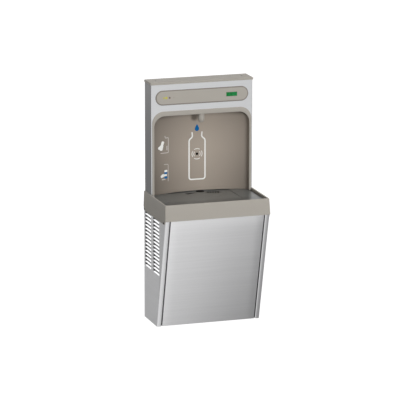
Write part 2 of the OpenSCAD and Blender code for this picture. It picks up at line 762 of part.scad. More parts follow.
// Basin: sunk strainer with a row of holes, its gasket, its nut and the
// waste tailpiece
barrel_in = 2.5;
barrel_r = strainer_r - barrel_in;
barrel_wall = 1.1;
cup_r = 19.5;
cup_l = 24;
cup_wall = 1.5;
strainer_t = 1.2;
gasket_t = 2.5;
gasket_w = 5;
row_hole_r = 2.9;
row_step = 10.8;
row_x = 2;
row_y = 13.9;
row_turn = -16;
module drain_strainer() {
  floor_z = -bowl_t - gasket_t + fit_gap;
  color(c_galv) translate([drain_x, drain_y, z_sump]) difference() {
    rotate_extrude() polygon([
      [0, 0], [barrel_r - barrel_wall, 0], [barrel_r - barrel_wall, floor_z + strainer_t],
          [cup_r - cup_wall, floor_z + strainer_t],
      [cup_r - cup_wall, -cup_l], [cup_r, -cup_l], [cup_r, floor_z], [barrel_r, floor_z], [barrel_r, 0],
      [strainer_r, 0], [strainer_r, strainer_t], [0, strainer_t]]);
    translate([row_x, row_y, -cut_over]) rotate([0, 0, row_turn])
      for (i = [-2 : 2]) translate([i * row_step, 0, 0]) cylinder(r = row_hole_r, h = 2 * cut_over);
  }
}
module drain_gasket() {
  z1 = z_sump - bowl_t;
  color(c_black) difference() {
    rod_z(drain_x, drain_y, barrel_r + gasket_w, z1 - gasket_t, z1);
    rod_z(drain_x, drain_y, barrel_r + hair_gap, z1 - gasket_t - cut_over, z1 + cut_over);
  }
}
drain_nut_r = 38;
drain_nut_t = 8;
module drain_nut() {
  z1 = z_sump - bowl_t - gasket_t;
  color(c_white) difference() {
    translate([drain_x, drain_y, z1 - drain_nut_t]) cylinder(r = drain_nut_r, h = drain_nut_t, $fn = 8);
    rod_z(drain_x, drain_y, cup_r + hair_gap, z1 - drain_nut_t - cut_over, z1 + cut_over);
  }
}
waste_r = 15.875;
waste_wall = 1.4;
waste_bend = 28;
waste_drop = 27.5;
waste_z = cabinet_h - waste_drop;
waste_hole_r = 23;
waste_end = 0.5;
module waste_tailpiece() {
  path = [[drain_x, drain_y, z_sump - cup_l + waste_insert], [drain_x, drain_y, waste_z],
      [drain_x, -waste_end, waste_z]];
  color(c_white) difference() {
    union() {
      pipe(path, waste_r, waste_bend);
      rod_z(drain_x, drain_y, cup_r - cup_wall - hair_gap, z_sump - cup_l + fit_gap,
          z_sump - cup_l + waste_insert);
    }
    pipe(path, waste_r - waste_wall, waste_bend);
  }
}
waste_insert = 14;
plug_head_t = 1.4;
module hole_plug() {
  color(c_black) {
    rod_z(plug_x, plug_y, plug_r, z_sump - bowl_t, z_bowl - plug_sink - near_depth);
    rod_z(plug_x, plug_y, plug_r + bowl_t, z_sump - bowl_t - plug_head_t, z_sump - bowl_t);
  }
}

// Cabinet: side panels, one folded sheet each, with pressed louvers
flange_return = 12.5;
ledge_lap = 12;
rear_flange = 14;
floor_flange = 14;
base_z = 4;
louver_h = 10;
louver_in = 6.6;
louver_drop = 29.8;
louver_z0 = cabinet_h - louver_drop;
louver_rear = 16;
louver_gap = 32;
louver_bulk = sheet_t * sqrt(louver_in * louver_in + louver_h * louver_h) / louver_h;
// A strip in the sloped front, from depth d0 to d1 behind it
module front_strip(x0, x1, d0, d1, z0, z1) {
  along_x(x0, x1) polygon([[front_y(z0) + d0, z0], [front_y(z0) + d1, z0],
                           [front_y(z1) + d1, z1], [front_y(z1) + d0, z1]]);
}
// One louver's blade and cheeks, pressed inwards from the outer face at x = 0
module louver() {
  along_y(0, louver_len) polygon([
    [0, -sheet_t / 4], [0, 0], [louver_in, louver_h], [louver_in + louver_bulk, louver_h],
    [louver_bulk, 0], [sheet_t, -sheet_t / 4]]);
  for (y = [0, louver_len - sheet_t]) along_y(y, y + sheet_t)
    polygon([[0, 0], [louver_in, louver_h], [0, louver_h]]);
}
module louver_places() {
  for (col = [0, 1], k = [0 : louver_rows - 1])
    translate([0, -louver_rear - louver_len - col * (louver_len + louver_gap),
        louver_z0 - k * louver_pitch])
      children();
}
// The left panel, with its outer face at x = 0 and its inside towards +X
module side_panel() {
  inner = flange_w + seam_w + ledge_lap;
  difference() {
    along_x(0, sheet_t) polygon([[0, 0], [front_y(0), 0], [front_y(z_side_top), z_side_top],
        [0, z_side_top]]);
    louver_places() span([-cut_over, 0, 0], [cut_over, louver_len, louver_h]);
  }
  louver_places() louver();
  front_strip(0, flange_w, 0, skin_t, 0, z_side_top);
  front_strip(flange_w - sheet_t, flange_w, 0, flange_return, 0, z_side_top);
  front_strip(flange_w - sheet_t, inner, flange_return - skin_t, flange_return, 0, z_side_top);
  span([0, -back_t - sheet_t, 0], [rear_flange, -back_t, z_side_top]);
  span([0, front_y(0) + flange_return + skin_t, base_z - sheet_t], [floor_flange, -back_t, base_z]);
}
module left_side_panel() {
  color(c_steel) translate([-half_cab, 0, 0]) side_panel();
}
module right_side_panel() {
  color(c_steel) mirror([1, 0, 0]) translate([-half_cab, 0, 0]) side_panel();
}

// Cabinet: front access panel, which draws straight off once two screws in
// its bottom flange are loosened
panel_top_gap = 0.8;
panel_return = 11;
panel_flange = 20;
notch_w = 6.4;
notch_d = 11;
panel_screw_x = 120;
panel_screw_in = 7.5;
panel_screw_y = front_y(0) + panel_flange - panel_screw_in;
panel_flange_z = base_z - sheet_t - 2 * fit_gap;
panel_half = half_cab - flange_w - seam_w;
z_panel = cabinet_h - panel_top_gap;
module front_panel() {
  in_half = half_cab - flange_w - seam_w - ledge_lap - seam_w;
  color(c_steel) {
    front_strip(-panel_half, panel_half, 0, skin_t, 0, z_panel);
    for (sx = [-1, 1])
      front_strip(sx * panel_half - (sx > 0 ? sheet_t : 0), sx * panel_half + (sx > 0 ? 0 : sheet_t),
                  0, panel_return, 0, z_panel);
    front_strip(-panel_half, panel_half, 0, panel_return, z_panel - sheet_t, z_panel);
    difference() {
      span([-in_half, front_y(0), panel_flange_z],
          [in_half, front_y(0) + panel_flange, panel_flange_z + sheet_t]);
      for (sx = [-1, 1]) span([sx * panel_screw_x - notch_w / 2, front_y(0) + panel_flange - notch_d, 0],
                              [sx * panel_screw_x + notch_w / 2, front_y(0) + panel_flange + cut_over,
                                  base_z]);
    }
  }
}
panel_head_r = 5;
panel_head_t = 2;
panel_shank_r = 2.5;
panel_screw_l = 9;
module panel_screws() {
  color(c_steel) for (sx = [-1, 1])
      translate([sx * panel_screw_x, panel_screw_y, panel_flange_z - hair_gap])
    pan_screw(panel_head_r, panel_head_t, panel_shank_r, panel_screw_l);
}

// Cabinet: floor plate, which carries the compressor
base_upturn = 14;
comp_x = 0;
comp_y = -88;
comp_foot_x = 62;
comp_foot_y = 50;
stud_r = 4;
base_lip_half = 180;
base_lip_in = 4;
base_front = front_y(0) + flange_return + 2 * skin_t;
module base_plate() {
  color(c_galv) difference() {
    union() {
      span([-half_cab + sheet_t, base_front, base_z], [half_cab - sheet_t, -back_t, base_z + base_t]);
      span([-base_lip_half, front_y(0) + base_lip_in, base_z],
          [base_lip_half, base_front, base_z + base_t]);
      for (sx = [-1, 1]) translate([sx * (half_cab - sheet_t - base_t / 2), (base_front - back_t) / 2,
          base_z + base_upturn / 2])
        cube([base_t, -back_t - base_front - 2 * rear_clear, base_upturn], center = true);
    }
    for (sx = [-1, 1]) rod_z(sx * panel_screw_x, panel_screw_y, panel_shank_r + hair_gap, 0,
        base_z + 2 * cut_over);
    for (sx = [-1, 1], sy = [-1, 1])
      rod_z(comp_x + sx * comp_foot_x, comp_y + sy * comp_foot_y, stud_r + hair_gap, 0,
          base_z + 2 * cut_over);
    for (sx = [-1, 1]) span([sx * half_cab - sx * sheet_t - rear_flange, -back_t - sheet_t - fit_gap,
        base_z - cut_over],
                            [sx * half_cab - sx * sheet_t + rear_flange, cut_over,
                                base_z + base_upturn + cut_over]);
  }
}
rear_clear = 16;

// Cabinet: back sheet below the hanger, and the hook rail above it
hang_z = 394;
hang_h = 34;
hang_t = 2;
hang_half = 212;
hang_reach = 6.5;
hang_bolt_dx = 304.8;
hang_bolt_z = 9;
hook_up = 12;
tongue_y = 1.6;
cord_x = -150;
cord_z = 60;
cord_hole_r = 11;
supply_x = 207;
supply_z = 250;
supply_hole_r = 15;
foot_bolt_dx = 355.6;
foot_bolt_z = 36;
rib_w = 18;
rib_in = 3;
module cabinet_back() {
  color(c_galv) difference() {
    union() {
      span([-half_cab + sheet_t, -back_t, 0], [half_cab - sheet_t, 0, hang_z - fit_gap]);
      for (sx = [-1, 1]) span([sx * rib_x - rib_w / 2, -back_t - rib_in, rib_z0],
          [sx * rib_x + rib_w / 2, -back_t, rib_z1]);
    }
    for (sx = [-1, 1]) {
      span([sx * rib_x - rib_w / 2 + back_t, -rib_in, rib_z0 + back_t],
          [sx * rib_x + rib_w / 2 - back_t, cut_over, rib_z1 - back_t]);
      rod_y(sx * foot_bolt_dx / 2, foot_bolt_z, bolt_r, -back_t - cut_over, cut_over);
    }
    rod_y(cord_x, cord_z, cord_hole_r, -back_t - cut_over, cut_over);
    rod_y(supply_x, supply_z, supply_hole_r, -back_t - cut_over, cut_over);
  }
}
rib_x = 96;
rib_z0 = 70;
rib_z1 = 370;
module hanger_rail() {
  z0 = hang_z + hang_h;
  tongue_z = z0 - hook_up;
  color(c_galv) difference() {
    union() {
      span([-half_cab + sheet_t, -back_t, z0], [half_cab - sheet_t, 0, z_side_top]);
      span([-hang_half, -tongue_y - back_t, z0], [hang_half, -back_t, z0 + back_t]);
      span([-hang_half, -tongue_y - back_t, tongue_z], [hang_half, -tongue_y, z0 + back_t]);
    }
    rod_y(drain_x, waste_z, waste_hole_r, -back_t - cut_over, cut_over);
  }
}
module wall_hanger() {
  z_leg = hang_z + hang_h - hook_up;
  color(c_steel) difference() {
    union() {
      span([-hang_half, -hang_t, hang_z], [hang_half, 0, z_leg]);
      span([-hang_half, -hang_reach, z_leg - hang_t], [hang_half, 0, z_leg]);
      span([-hang_half, -hang_reach, z_leg - hang_t], [hang_half, -hang_reach + hang_t, z_leg + hook_up]);
    }
    for (sx = [-1, 1]) rod_y(sx * hang_bolt_dx / 2, hang_z + hang_bolt_z, bolt_r, -hang_t - fit_gap,
        cut_over);
  }
}

// Cabinet: front cross rail, with the plate that carries the cold control
rail_in = 21;
rail_y = front_y(cabinet_h) + rail_in;
rail_d = 20;
rail_h = 22;
control_x = -60;
control_plate_w = 56;
control_drop = 44;
control_hole_r = 4.5;
module front_rail() {
  color(c_galv) difference() {
    union() {
      span([-half_cab + sheet_t, rail_y, z_side_top - rail_h],
          [half_cab - sheet_t, rail_y + base_t, z_side_top]);
      span([-half_cab + sheet_t, rail_y, z_side_top - base_t],
          [half_cab - sheet_t, rail_y + rail_d, z_side_top]);
      span([control_x - control_plate_w / 2, rail_y + rail_d - base_t,
          z_side_top - control_drop - rail_h],
           [control_x + control_plate_w / 2, rail_y + rail_d, z_side_top]);
      for (sx = [-1, 1]) translate([sx * (half_cab - sheet_t - base_t / 2), rail_y + rail_d / 2,
          z_side_top - rail_h / 2])
        cube([base_t, rail_d, rail_h], center = true);
    }
    rod_y(control_x, control_z, control_hole_r, rail_y + rail_d - 2 * base_t, rail_y + rail_d + cut_over);
  }
}
control_z = z_side_top - rail_h - control_drop / 2;

// Refrigeration: hermetic compressor on rubber grommets
comp_r = 72;
comp_h = 160;
comp_dome = 34;
comp_seam = 5;
grommet_h = 12;
grommet_r = 11;
foot_t = 3;
ear_r = 15;
z_comp = base_z + base_t + grommet_h;
comp_seam_z_share = 0.5;
suction_x = 22;
suction_y = -60;
stub_r = 6.5;
stub_top = 198;
discharge_z = 120;
module compressor() {
  z_shell = z_comp + foot_t;
  seam_z = comp_h * comp_seam_z_share;
  color(c_black) difference() {
    union() {
      translate([comp_x, comp_y, z_shell]) rotate_extrude() polygon([
        [0, 0], [comp_r - comp_dome / 2, 0], [comp_r - comp_dome / 8, comp_dome / 4],
            [comp_r, comp_dome * 5 / 8],
        [comp_r, seam_z], [comp_r + comp_seam, seam_z], [comp_r + comp_seam, seam_z + foot_t],
        [comp_r, seam_z + foot_t], [comp_r, comp_h - comp_dome],
            [comp_r - comp_dome / 8, comp_h - comp_dome * 5 / 8],
        [comp_r - comp_dome / 2, comp_h - comp_dome / 4], [comp_r / 2 - comp_dome / 4, comp_h],
            [0, comp_h]]);
      for (s = [-1, 1]) translate([comp_x, comp_y + s * comp_foot_y, z_comp])
          linear_extrude(height = foot_t)
        round_rect(2 * comp_foot_x + 2 * ear_r, 2 * ear_r, ear_r - foot_t);
      translate([comp_x, comp_y, z_comp]) linear_extrude(height = foot_t)
        square([comp_foot_x, 2 * comp_foot_y], center = true);
      rod_z(suction_x, suction_y, stub_r, z_shell + comp_h - comp_dome, stub_top);
      rod_x(comp_y, discharge_z, stub_r, comp_x - comp_r - 2 * comp_seam, comp_x - comp_r + comp_seam);
    }
    for (sx = [-1, 1], sy = [-1, 1])
      rod_z(comp_x + sx * comp_foot_x, comp_y + sy * comp_foot_y, stud_r + hair_gap, 0,
          z_shell + cut_over);
  }
}
module compressor_grommets() {
  color([0.12, 0.12, 0.13]) for (sx = [-1, 1], sy = [-1, 1])
    translate([comp_x + sx * comp_foot_x, comp_y + sy * comp_foot_y, base_z + base_t]) rotate_extrude()
        polygon([
      [stud_r + hair_gap, 0], [grommet_r, 0], [grommet_r, grommet_h / 3],
          [grommet_r * waist_share, grommet_h / 2],
      [grommet_r, grommet_h * 2 / 3], [grommet_r, grommet_h], [stud_r + hair_gap, grommet_h]]);
}
waist_share = 0.8;
bolt_head_r = 7.5;
bolt_head_t = 2.6;
nut_af_r = 7.4;
nut_l = 5;
bolt_end = 2;
module compressor_bolts() {
  z_nut = z_comp + foot_t;
  color(c_steel) for (sx = [-1, 1], sy = [-1, 1])
    translate([comp_x + sx * comp_foot_x, comp_y + sy * comp_foot_y, 0]) {
      translate([0, 0, base_z - bolt_head_t]) cylinder(r = bolt_head_r, h = bolt_head_t, $fn = 6);
      translate([0, 0, base_z - bolt_head_t])
          cylinder(r = stud_r, h = z_nut + nut_l + bolt_end - base_z + bolt_head_t);
      translate([0, 0, z_nut]) cylinder(r = nut_af_r, h = nut_l, $fn = 6);
    }
}
term_w = 46;
term_h = 44;
term_out = 17;
term_z = 56;
module terminal_cover() {
  color([0.16, 0.16, 0.17]) difference() {
    span([comp_x - term_w / 2, comp_y - comp_r - term_out, z_comp + term_z - term_h / 2],
         [comp_x + term_w / 2, comp_y - comp_r / 2, z_comp + term_z + term_h / 2]);
    rod_z(comp_x, comp_y, comp_r + hair_gap, 0, cabinet_h);
  }
}

// Refrigeration: finned condenser beside the left louvers
cond_y0 = -190;
cond_y1 = -42;
cond_z0 = 233;
cond_x0 = -219;
cond_x1 = -187;
fin_count = 22;
fin_t = 0.8;
coil_tube_r = 4;
coil_rows = 7;
coil_spacing = 26;
end_plate_t = 2;
coil_x = (cond_x0 + cond_x1) / 2;
cond_h = coil_rows * coil_spacing;
function coil_z(k) = cond_z0 + (k + 1 / 2) * coil_spacing;
fin_pitch = (cond_y1 - cond_y0 - end_plate_t) / (fin_count - 1);
module fin_outline(w) {
  difference() {
    translate([cond_x0 - (w - 1) * end_plate_t / 4, cond_z0])
      square([cond_x1 - cond_x0 + (w - 1) * end_plate_t / 2, cond_h]);
    for (k = [0 : coil_rows - 1]) translate([coil_x, coil_z(k)]) circle(r = coil_tube_r + hair_gap);
  }
}
module condenser_fins() {
  color(c_galv) {
    for (i = [1 : fin_count - 2]) let (y = cond_y0 + i * fin_pitch) along_y(y, y + fin_t) fin_outline(1);
    for (i = [0, fin_count - 1]) let (y = cond_y0 + i * fin_pitch) along_y(y, y + end_plate_t)
        fin_outline(1);
    for (z = [cond_z0 - end_plate_t, cond_z0 + cond_h])
      span([cond_x0, cond_y0, z], [cond_x1, cond_y1, z + end_plate_t]);
    for (i = [0, 1]) span([cond_x1, i * (cond_y1 - cond_y0 - end_plate_t) + cond_y0,
        cond_z0 - end_plate_t],
                          [cond_x1 + foot_tab, i * (cond_y1 - cond_y0 - end_plate_t) + cond_y0 +
                              end_plate_t, cond_z0]);
    span([-half_cab + sheet_t, cond_y0, cond_z0 - 2 * end_plate_t],
        [cond_x1, cond_y1, cond_z0 - end_plate_t]);
  }
}
foot_tab = 4;
coil_out = 0.3;
discharge_run = 48;
rear_run = 14;
drier_x0 = -140;
drier_l = 90;
drier_y = -199;
drier_z = 205;
line_bend = 8;
module condenser_coil() {
  y0 = cond_y0 - coil_out;
  y1 = cond_y1 + coil_out;
  color(c_copper) {
    for (k = [0 : coil_rows - 1]) rod_y(coil_x, coil_z(k), coil_tube_r, y0, y1);
    for (k = [0 : coil_rows - 2]) translate([coil_x, k % 2 == 0 ? y1 : y0, coil_z(k) + coil_spacing / 2])
      rotate([k % 2 == 0 ? 0 : 180, 0, 0]) rotate([0, 90, 0]) rotate_extrude(angle = 180)
        translate([coil_spacing / 2, 0]) circle(r = coil_tube_r);
    pipe([[coil_x, y0, coil_z(0)], [coil_x, drier_y, coil_z(0)], [coil_x, drier_y, drier_z],
          [drier_x0 + hair_gap, drier_y, drier_z]], coil_tube_r, line_bend);
  }
}
module discharge_line() {
  x_turn = comp_x - comp_r - discharge_run;
  color(c_copper) pipe([[comp_x - comp_r - 2 * comp_seam - hair_gap, comp_y, discharge_z],
      [x_turn, comp_y, discharge_z],
    [x_turn, -rear_run, discharge_z], [coil_x, -rear_run, discharge_z],
        [coil_x, -rear_run, coil_z(coil_rows - 1)],
    [coil_x, cond_y1 + coil_out + hair_gap, coil_z(coil_rows - 1)]], coil_tube_r, line_bend);
}

// Refrigeration: fan that draws air through the condenser
fan_y = -116;
fan_z = 324;
fan_x0 = -182;
fan_w = 18;
fan_r = 70;
hub_r = 15;
blade_count = 5;
blade_t = 1.5;
blade_angle = 28;
blade_chord = 62;
shaft_r = 3;
strap_x = -158;
strap_t = 2;
strap_w = 26;
strap_half = 82;
crossbar_h = 12;
motor_r = 31;
motor_l = 46;
motor_bore_l = 22;
shaft_l = 40;
module fan_bracket() {
  color(c_galv) difference() {
    union() {
      span([strap_x, fan_y - strap_w / 2, fan_z - strap_half], [strap_x + strap_t, fan_y + strap_w / 2,
          fan_z + strap_half]);
      for (s = [-1, 1]) {
        span([cond_x1, fan_y - strap_w / 2, fan_z + s * strap_half - strap_t / 2],
             [strap_x + strap_t, fan_y + strap_w / 2, fan_z + s * strap_half + strap_t / 2]);
        span([cond_x1, cond_y0, fan_z + s * strap_half - crossbar_h / 2],
             [cond_x1 + strap_t, cond_y1, fan_z + s * strap_half + crossbar_h / 2]);
      }
    }
    rod_x(fan_y, fan_z, shaft_r + strap_t, strap_x - cut_over, strap_x + strap_t + cut_over);
  }
}
module fan_motor() {
  x0 = strap_x + strap_t;
  color([0.22, 0.23, 0.25]) difference() {
    union() {
      rod_x(fan_y, fan_z, motor_r, x0, x0 + motor_l);
      rod_x(fan_y, fan_z, motor_r / 2, x0 + motor_l, x0 + motor_l + motor_r / 4);
    }
    rod_x(fan_y, fan_z, shaft_r + running_gap, x0 - cut_over, x0 + motor_bore_l);
  }
}
module fan_shaft() {
  color(c_steel) rod_x(fan_y, fan_z, shaft_r, fan_x0 - fit_gap, fan_x0 + shaft_l);
}
module fan_blade() {
  color([0.78, 0.79, 0.80]) translate([fan_x0, fan_y, fan_z]) rotate([0, 90, 0]) difference() {
    union() {
      cylinder(r = hub_r, h = fan_w);
      for (k = [0 : blade_count - 1]) rotate([0, 0, 360 * k / blade_count]) intersection() {
        cylinder(r = fan_r, h = fan_w);
        translate([0, 0, fan_w / 2]) rotate([blade_angle, 0, 0])
            translate([hub_r / 2, -blade_chord / 2, -blade_t / 2])
          cube([fan_r, blade_chord, blade_t]);
        translate([fan_r / 2, 0, -cut_over]) cylinder(r = blade_chord * blade_round_share,
            h = fan_w + 2 * cut_over);
      }
    }
    translate([0, 0, -cut_over]) cylinder(r = shaft_r + running_gap / 2, h = fan_w + 2 * cut_over);
  }
}
blade_round_share = 0.6;

// Refrigeration: filter drier, capillary, suction line and cold tank
drier_r = 9.5;
drier_neck = 12;
cap_r = 1.5;
tank_x = 22;
tank_y = -85;
tank_r = 70;
tank_z0 = 240;
tank_h = 200;
tank_edge = 8;
cap_z = 300;
module filter_drier() {
  color(c_copper) translate([drier_x0 + 2 * hair_gap, drier_y, drier_z]) rotate([0, 90, 0])
      rotate_extrude() polygon([
    [0, 0], [coil_tube_r + hair_gap, 0], [drier_r, drier_neck], [drier_r, drier_l - drier_neck],
    [cap_r + hair_gap, drier_l], [0, drier_l]]);
}
module capillary_tube() {
  x0 = drier_x0 + drier_l + 3 * hair_gap;
  color(c_copper) pipe([[x0, drier_y, drier_z], [tank_x, drier_y, drier_z], [tank_x, drier_y, cap_z],
                        [tank_x, tank_y - tank_r - hair_gap, cap_z]], cap_r, line_bend);
}
module suction_line() {
  color(c_copper) rod_z(suction_x, suction_y, tube_r, stub_top + hair_gap, tank_z0 - hair_gap);
}
tank_in_x = 50;
tank_in_y = -100;
tank_out_x = 0;
tank_out_y = -60;
port_r = 8;
port_h = 5;
module cold_tank() {
  color([0.10, 0.10, 0.11]) difference() {
    union() {
      translate([tank_x, tank_y, tank_z0]) rotate_extrude() polygon([
        [0, 0], [tank_r - tank_edge, 0], [tank_r, tank_edge], [tank_r, tank_h - tank_edge],
            [tank_r - tank_edge, tank_h], [0, tank_h]]);
      rod_z(tank_in_x, tank_in_y, port_r, tank_z0 + tank_h - port_h, tank_z0 + tank_h + port_h);
      rod_z(tank_out_x, tank_out_y, port_r, tank_z0 + tank_h - port_h, tank_z0 + tank_h + port_h);
    }
    rod_z(tank_in_x, tank_in_y, tube_r + hair_gap, tank_z0 + tank_h,
        tank_z0 + tank_h + port_h + cut_over);
    rod_z(tank_out_x, tank_out_y, tube_r + hair_gap, tank_z0 + tank_h,
        tank_z0 + tank_h + port_h + cut_over);
  }
}
saddle_w = 24;
saddle_t = 2;
module tank_bracket() {
  z0 = tank_z0 + tank_h / 2 - saddle_w / 2;
  color(c_galv) {
    span([tank_x - shelf_half, -shelf_d, tank_z0 - saddle_t], [tank_x + shelf_half, -back_t, tank_z0]);
    difference() {
      rod_z(tank_x, tank_y, tank_r + fit_gap + saddle_t, z0, z0 + saddle_w);
      rod_z(tank_x, tank_y, tank_r + fit_gap, z0 - cut_over, z0 + saddle_w + cut_over);
    }
    for (s = [-1, 1]) span([tank_x + s * tank_r * saddle_foot_share - saddle_t / 2,
        -back_t - shelf_leg_d, tank_z0 - saddle_t],
                           [tank_x + s * tank_r * saddle_foot_share + saddle_t / 2, -back_t, z0]);
    for (s = [-1, 1]) span([tank_x + s * tank_r * saddle_foot_share - saddle_t / 2,
        -back_t - saddle_leg, z0],
                           [tank_x + s * tank_r * saddle_foot_share + saddle_t / 2, -back_t,
                               z0 + saddle_w]);
  }
}
saddle_foot_share = 0.7;
saddle_leg = 32;
shelf_leg_d = 20;
shelf_half = 54;
shelf_d = 48;

// Cold control with a slotted shaft that faces the front
control_w = 34;
control_h = 30;
control_d = 22;
control_bush_r = 4.2;
control_bush_l = 6;
control_shaft_r = 2.6;
control_tip = 9;
control_slot_w = 1;
control_slot_d = 2;
knob_r = 5.5;
knob_l = 5;
module cold_control() {
  y0 = rail_y + rail_d;
  color([0.75, 0.74, 0.70]) difference() {
    union() {
      span([control_x - control_w / 2, y0, control_z - control_h / 2],
          [control_x + control_w / 2, y0 + control_d, control_z + control_h / 2]);
      rod_y(control_x, control_z, control_bush_r, y0 - control_bush_l, y0);
    }
    rod_y(control_x, control_z, control_shaft_r + running_gap, y0 - control_bush_l - cut_over,
        y0 + control_d / 2);
  }
}
module control_shaft() {
  y0 = rail_y + rail_d - control_bush_l - control_tip;
  color(c_brass) difference() {
    union() {
      rod_y(control_x, control_z, control_shaft_r, y0, rail_y + rail_d + control_d / 3);
      rod_y(control_x, control_z, knob_r, y0, y0 + knob_l);
    }
    translate([control_x, y0, control_z])
        cube([2 * knob_r + cut_over, 2 * control_slot_d, control_slot_w], center = true);
  }
}

// Water filter: bracket, head and quarter-turn cartridge
filt_x = 150;
filt_y = -135;
head_r = 37;
head_h = 34;
head_drop = 16;
head_z1 = z_side_top - head_drop;
neck_r = 24;
neck_l = 20;
cart_r = 40;
cart_l = 286;
cart_edge = 12;
plate_over = 8;
bracket_lip = 14;
wing_w = 5;
wing_out = 4;
wing_h = 40;
head_port_l = 8;
head_port_r = 8;
head_z0 = head_z1 - head_h;
module filter_bracket() {
  color(c_galv) {
    span([filt_x - head_r - plate_over, filt_y - head_r, head_z1],
        [half_cab - sheet_t, filt_y + head_r, head_z1 + base_t]);
    span([half_cab - sheet_t - base_t, filt_y - head_r, head_z1],
        [half_cab - sheet_t, filt_y + head_r, head_z1 + bracket_lip]);
  }
}
module filter_head() {
  zp = head_port_z;
  color(c_blue) difference() {
    union() {
      rod_z(filt_x, filt_y, head_r, head_z0, head_z1);
      rod_x(filt_y, zp, head_port_r, filt_x + head_r - plastic_t, filt_x + head_r + head_port_l);
      rod_x(filt_y, zp, head_port_r, filt_x - head_r - head_port_l, filt_x - head_r + plastic_t);
    }
    rod_z(filt_x, filt_y, neck_r + running_gap, head_z0 - cut_over, head_z0 + neck_l + fit_gap);
    rod_x(filt_y, zp, tube_r + hair_gap, filt_x + head_r, filt_x + head_r + head_port_l + cut_over);
    rod_x(filt_y, zp, tube_r + hair_gap, filt_x - head_r - head_port_l - cut_over, filt_x - head_r);
  }
}
module filter_cartridge() {
  z1 = head_z0 - fit_gap;
  color(c_white) union() {
    translate([filt_x, filt_y, z1 - cart_l]) rotate_extrude() polygon([
      [0, 0], [cart_r - cart_edge, 0], [cart_r - cart_edge / 4, cart_edge / 3], [cart_r, cart_edge],
          [cart_r, cart_l - cart_edge],
      [cart_r - cart_edge, cart_l], [neck_r, cart_l], [neck_r, cart_l + neck_l], [0, cart_l + neck_l]]);
    for (k = [0 : 3]) translate([filt_x, filt_y, z1 - cart_l + cart_edge]) rotate([0, 0, 90 * k])
      translate([cart_r - plastic_t, -wing_w / 2, 0]) cube([plastic_t + wing_out, wing_w, wing_h]);
  }
}

// Water tubes in the cabinet
head_port_z = head_z1 - head_h / 2 + base_t;
supply_stub = 3;
supply_run = 46;
module inlet_tube() {
  color(c_white) water_tube([[supply_x, -supply_stub, supply_z], [supply_x, -supply_run, supply_z],
      [supply_x, -supply_run, head_port_z],
    [supply_x, filt_y, head_port_z], [filt_x + head_r + hair_gap, filt_y, head_port_z]]);
}
module feed_tube() {
  color(c_white) water_tube([[filt_x - head_r - hair_gap, filt_y, head_port_z],
      [tank_in_x, filt_y, head_port_z],
    [tank_in_x, tank_in_y, head_port_z], [tank_in_x, tank_in_y, tank_z0 + tank_h + hair_gap]]);
}
riser_x = -203;
riser_y = -16;
riser_z = 462;
module riser_tube() {
  color(c_white) water_tube([[tank_out_x, tank_out_y, tank_z0 + tank_h + hair_gap],
      [tank_out_x, tank_out_y, riser_z],
    [riser_x, tank_out_y, riser_z], [riser_x, riser_y, riser_z],
        [riser_x, riser_y, valve_z - valve_h / 2],
    [riser_x, valve_y, valve_z - valve_h / 2], [valve_x - valve_w / 2 - hair_gap, valve_y,
        valve_z - valve_h / 2]]);
}

// Grommet in the back sheet for the supply cord
grommet_bore_r = 4.5;
grommet_flange_r = 14;
grommet_flange_t = 2;
module cord_grommet() {
  color(c_black) difference() {
    union() {
      rod_y(cord_x, cord_z, cord_hole_r - hair_gap, -back_t - grommet_flange_t, 0);
      rod_y(cord_x, cord_z, grommet_flange_r, -back_t - grommet_flange_t - hair_gap, -back_t - hair_gap);
    }
    rod_y(cord_x, cord_z, grommet_bore_r, -back_t - grommet_flange_t - cut_over, cut_over);
  }
}

filler_back();
filler_wrapper();
top_cover();
cover_screws();
visor_panel();
display_window();
display_board();
indicator_lenses();
alcove_liner();
nozzle();
nozzle_nut();
flow_straightener();
sensor_window();
sensor_housing();
valve_body();
valve_coil();
valve_plunger();
outlet_tube();
riser_tube();
control_box();
basin_apron();
basin_bowl();
drain_strainer();
drain_gasket();
drain_nut();
waste_tailpiece();
hole_plug();
left_side_panel();
right_side_panel();
front_panel();
panel_screws();
base_plate();
cabinet_back();
hanger_rail();
wall_hanger();
front_rail();
compressor();
compressor_grommets();
compressor_bolts();
terminal_cover();
condenser_fins();
condenser_coil();
fan_bracket();
fan_motor();
fan_shaft();
fan_blade();
discharge_line();
filter_drier();
capillary_tube();
suction_line();
cold_tank();
tank_bracket();
cold_control();
control_shaft();
filter_bracket();
filter_head();
filter_cartridge();
inlet_tube();
feed_tube();
cord_grommet();
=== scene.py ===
import bmesh
import bpy
import numpy as np
from mathutils import Matrix, Vector


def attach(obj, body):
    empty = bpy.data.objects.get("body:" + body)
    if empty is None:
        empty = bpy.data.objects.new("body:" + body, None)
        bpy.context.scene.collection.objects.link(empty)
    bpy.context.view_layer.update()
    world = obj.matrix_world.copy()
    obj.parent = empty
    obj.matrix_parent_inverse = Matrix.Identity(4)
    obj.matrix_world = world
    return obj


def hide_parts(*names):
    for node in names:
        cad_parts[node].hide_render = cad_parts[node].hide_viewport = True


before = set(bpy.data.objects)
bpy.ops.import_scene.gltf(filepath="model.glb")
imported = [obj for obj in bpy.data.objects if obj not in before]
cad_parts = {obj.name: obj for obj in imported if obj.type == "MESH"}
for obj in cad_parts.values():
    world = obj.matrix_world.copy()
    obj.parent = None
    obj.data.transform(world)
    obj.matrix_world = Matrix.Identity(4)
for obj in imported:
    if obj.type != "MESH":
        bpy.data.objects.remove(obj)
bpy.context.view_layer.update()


# The photographer's camera: a long lens that stands to the left of the station and
# a little above it. The angles and the distance come from the photograph's edges.
MM = 0.001
IMAGE_PX = 400
SENSOR_MM = 36
LENS_PX = 2904.49
TURN = 0.316411503
TILT = 0.228921887
ROLL = 0.00105
AIM_MM = np.array([-28.2759, -150.0, 535.9458])
DISTANCE_MM = 12398.3255

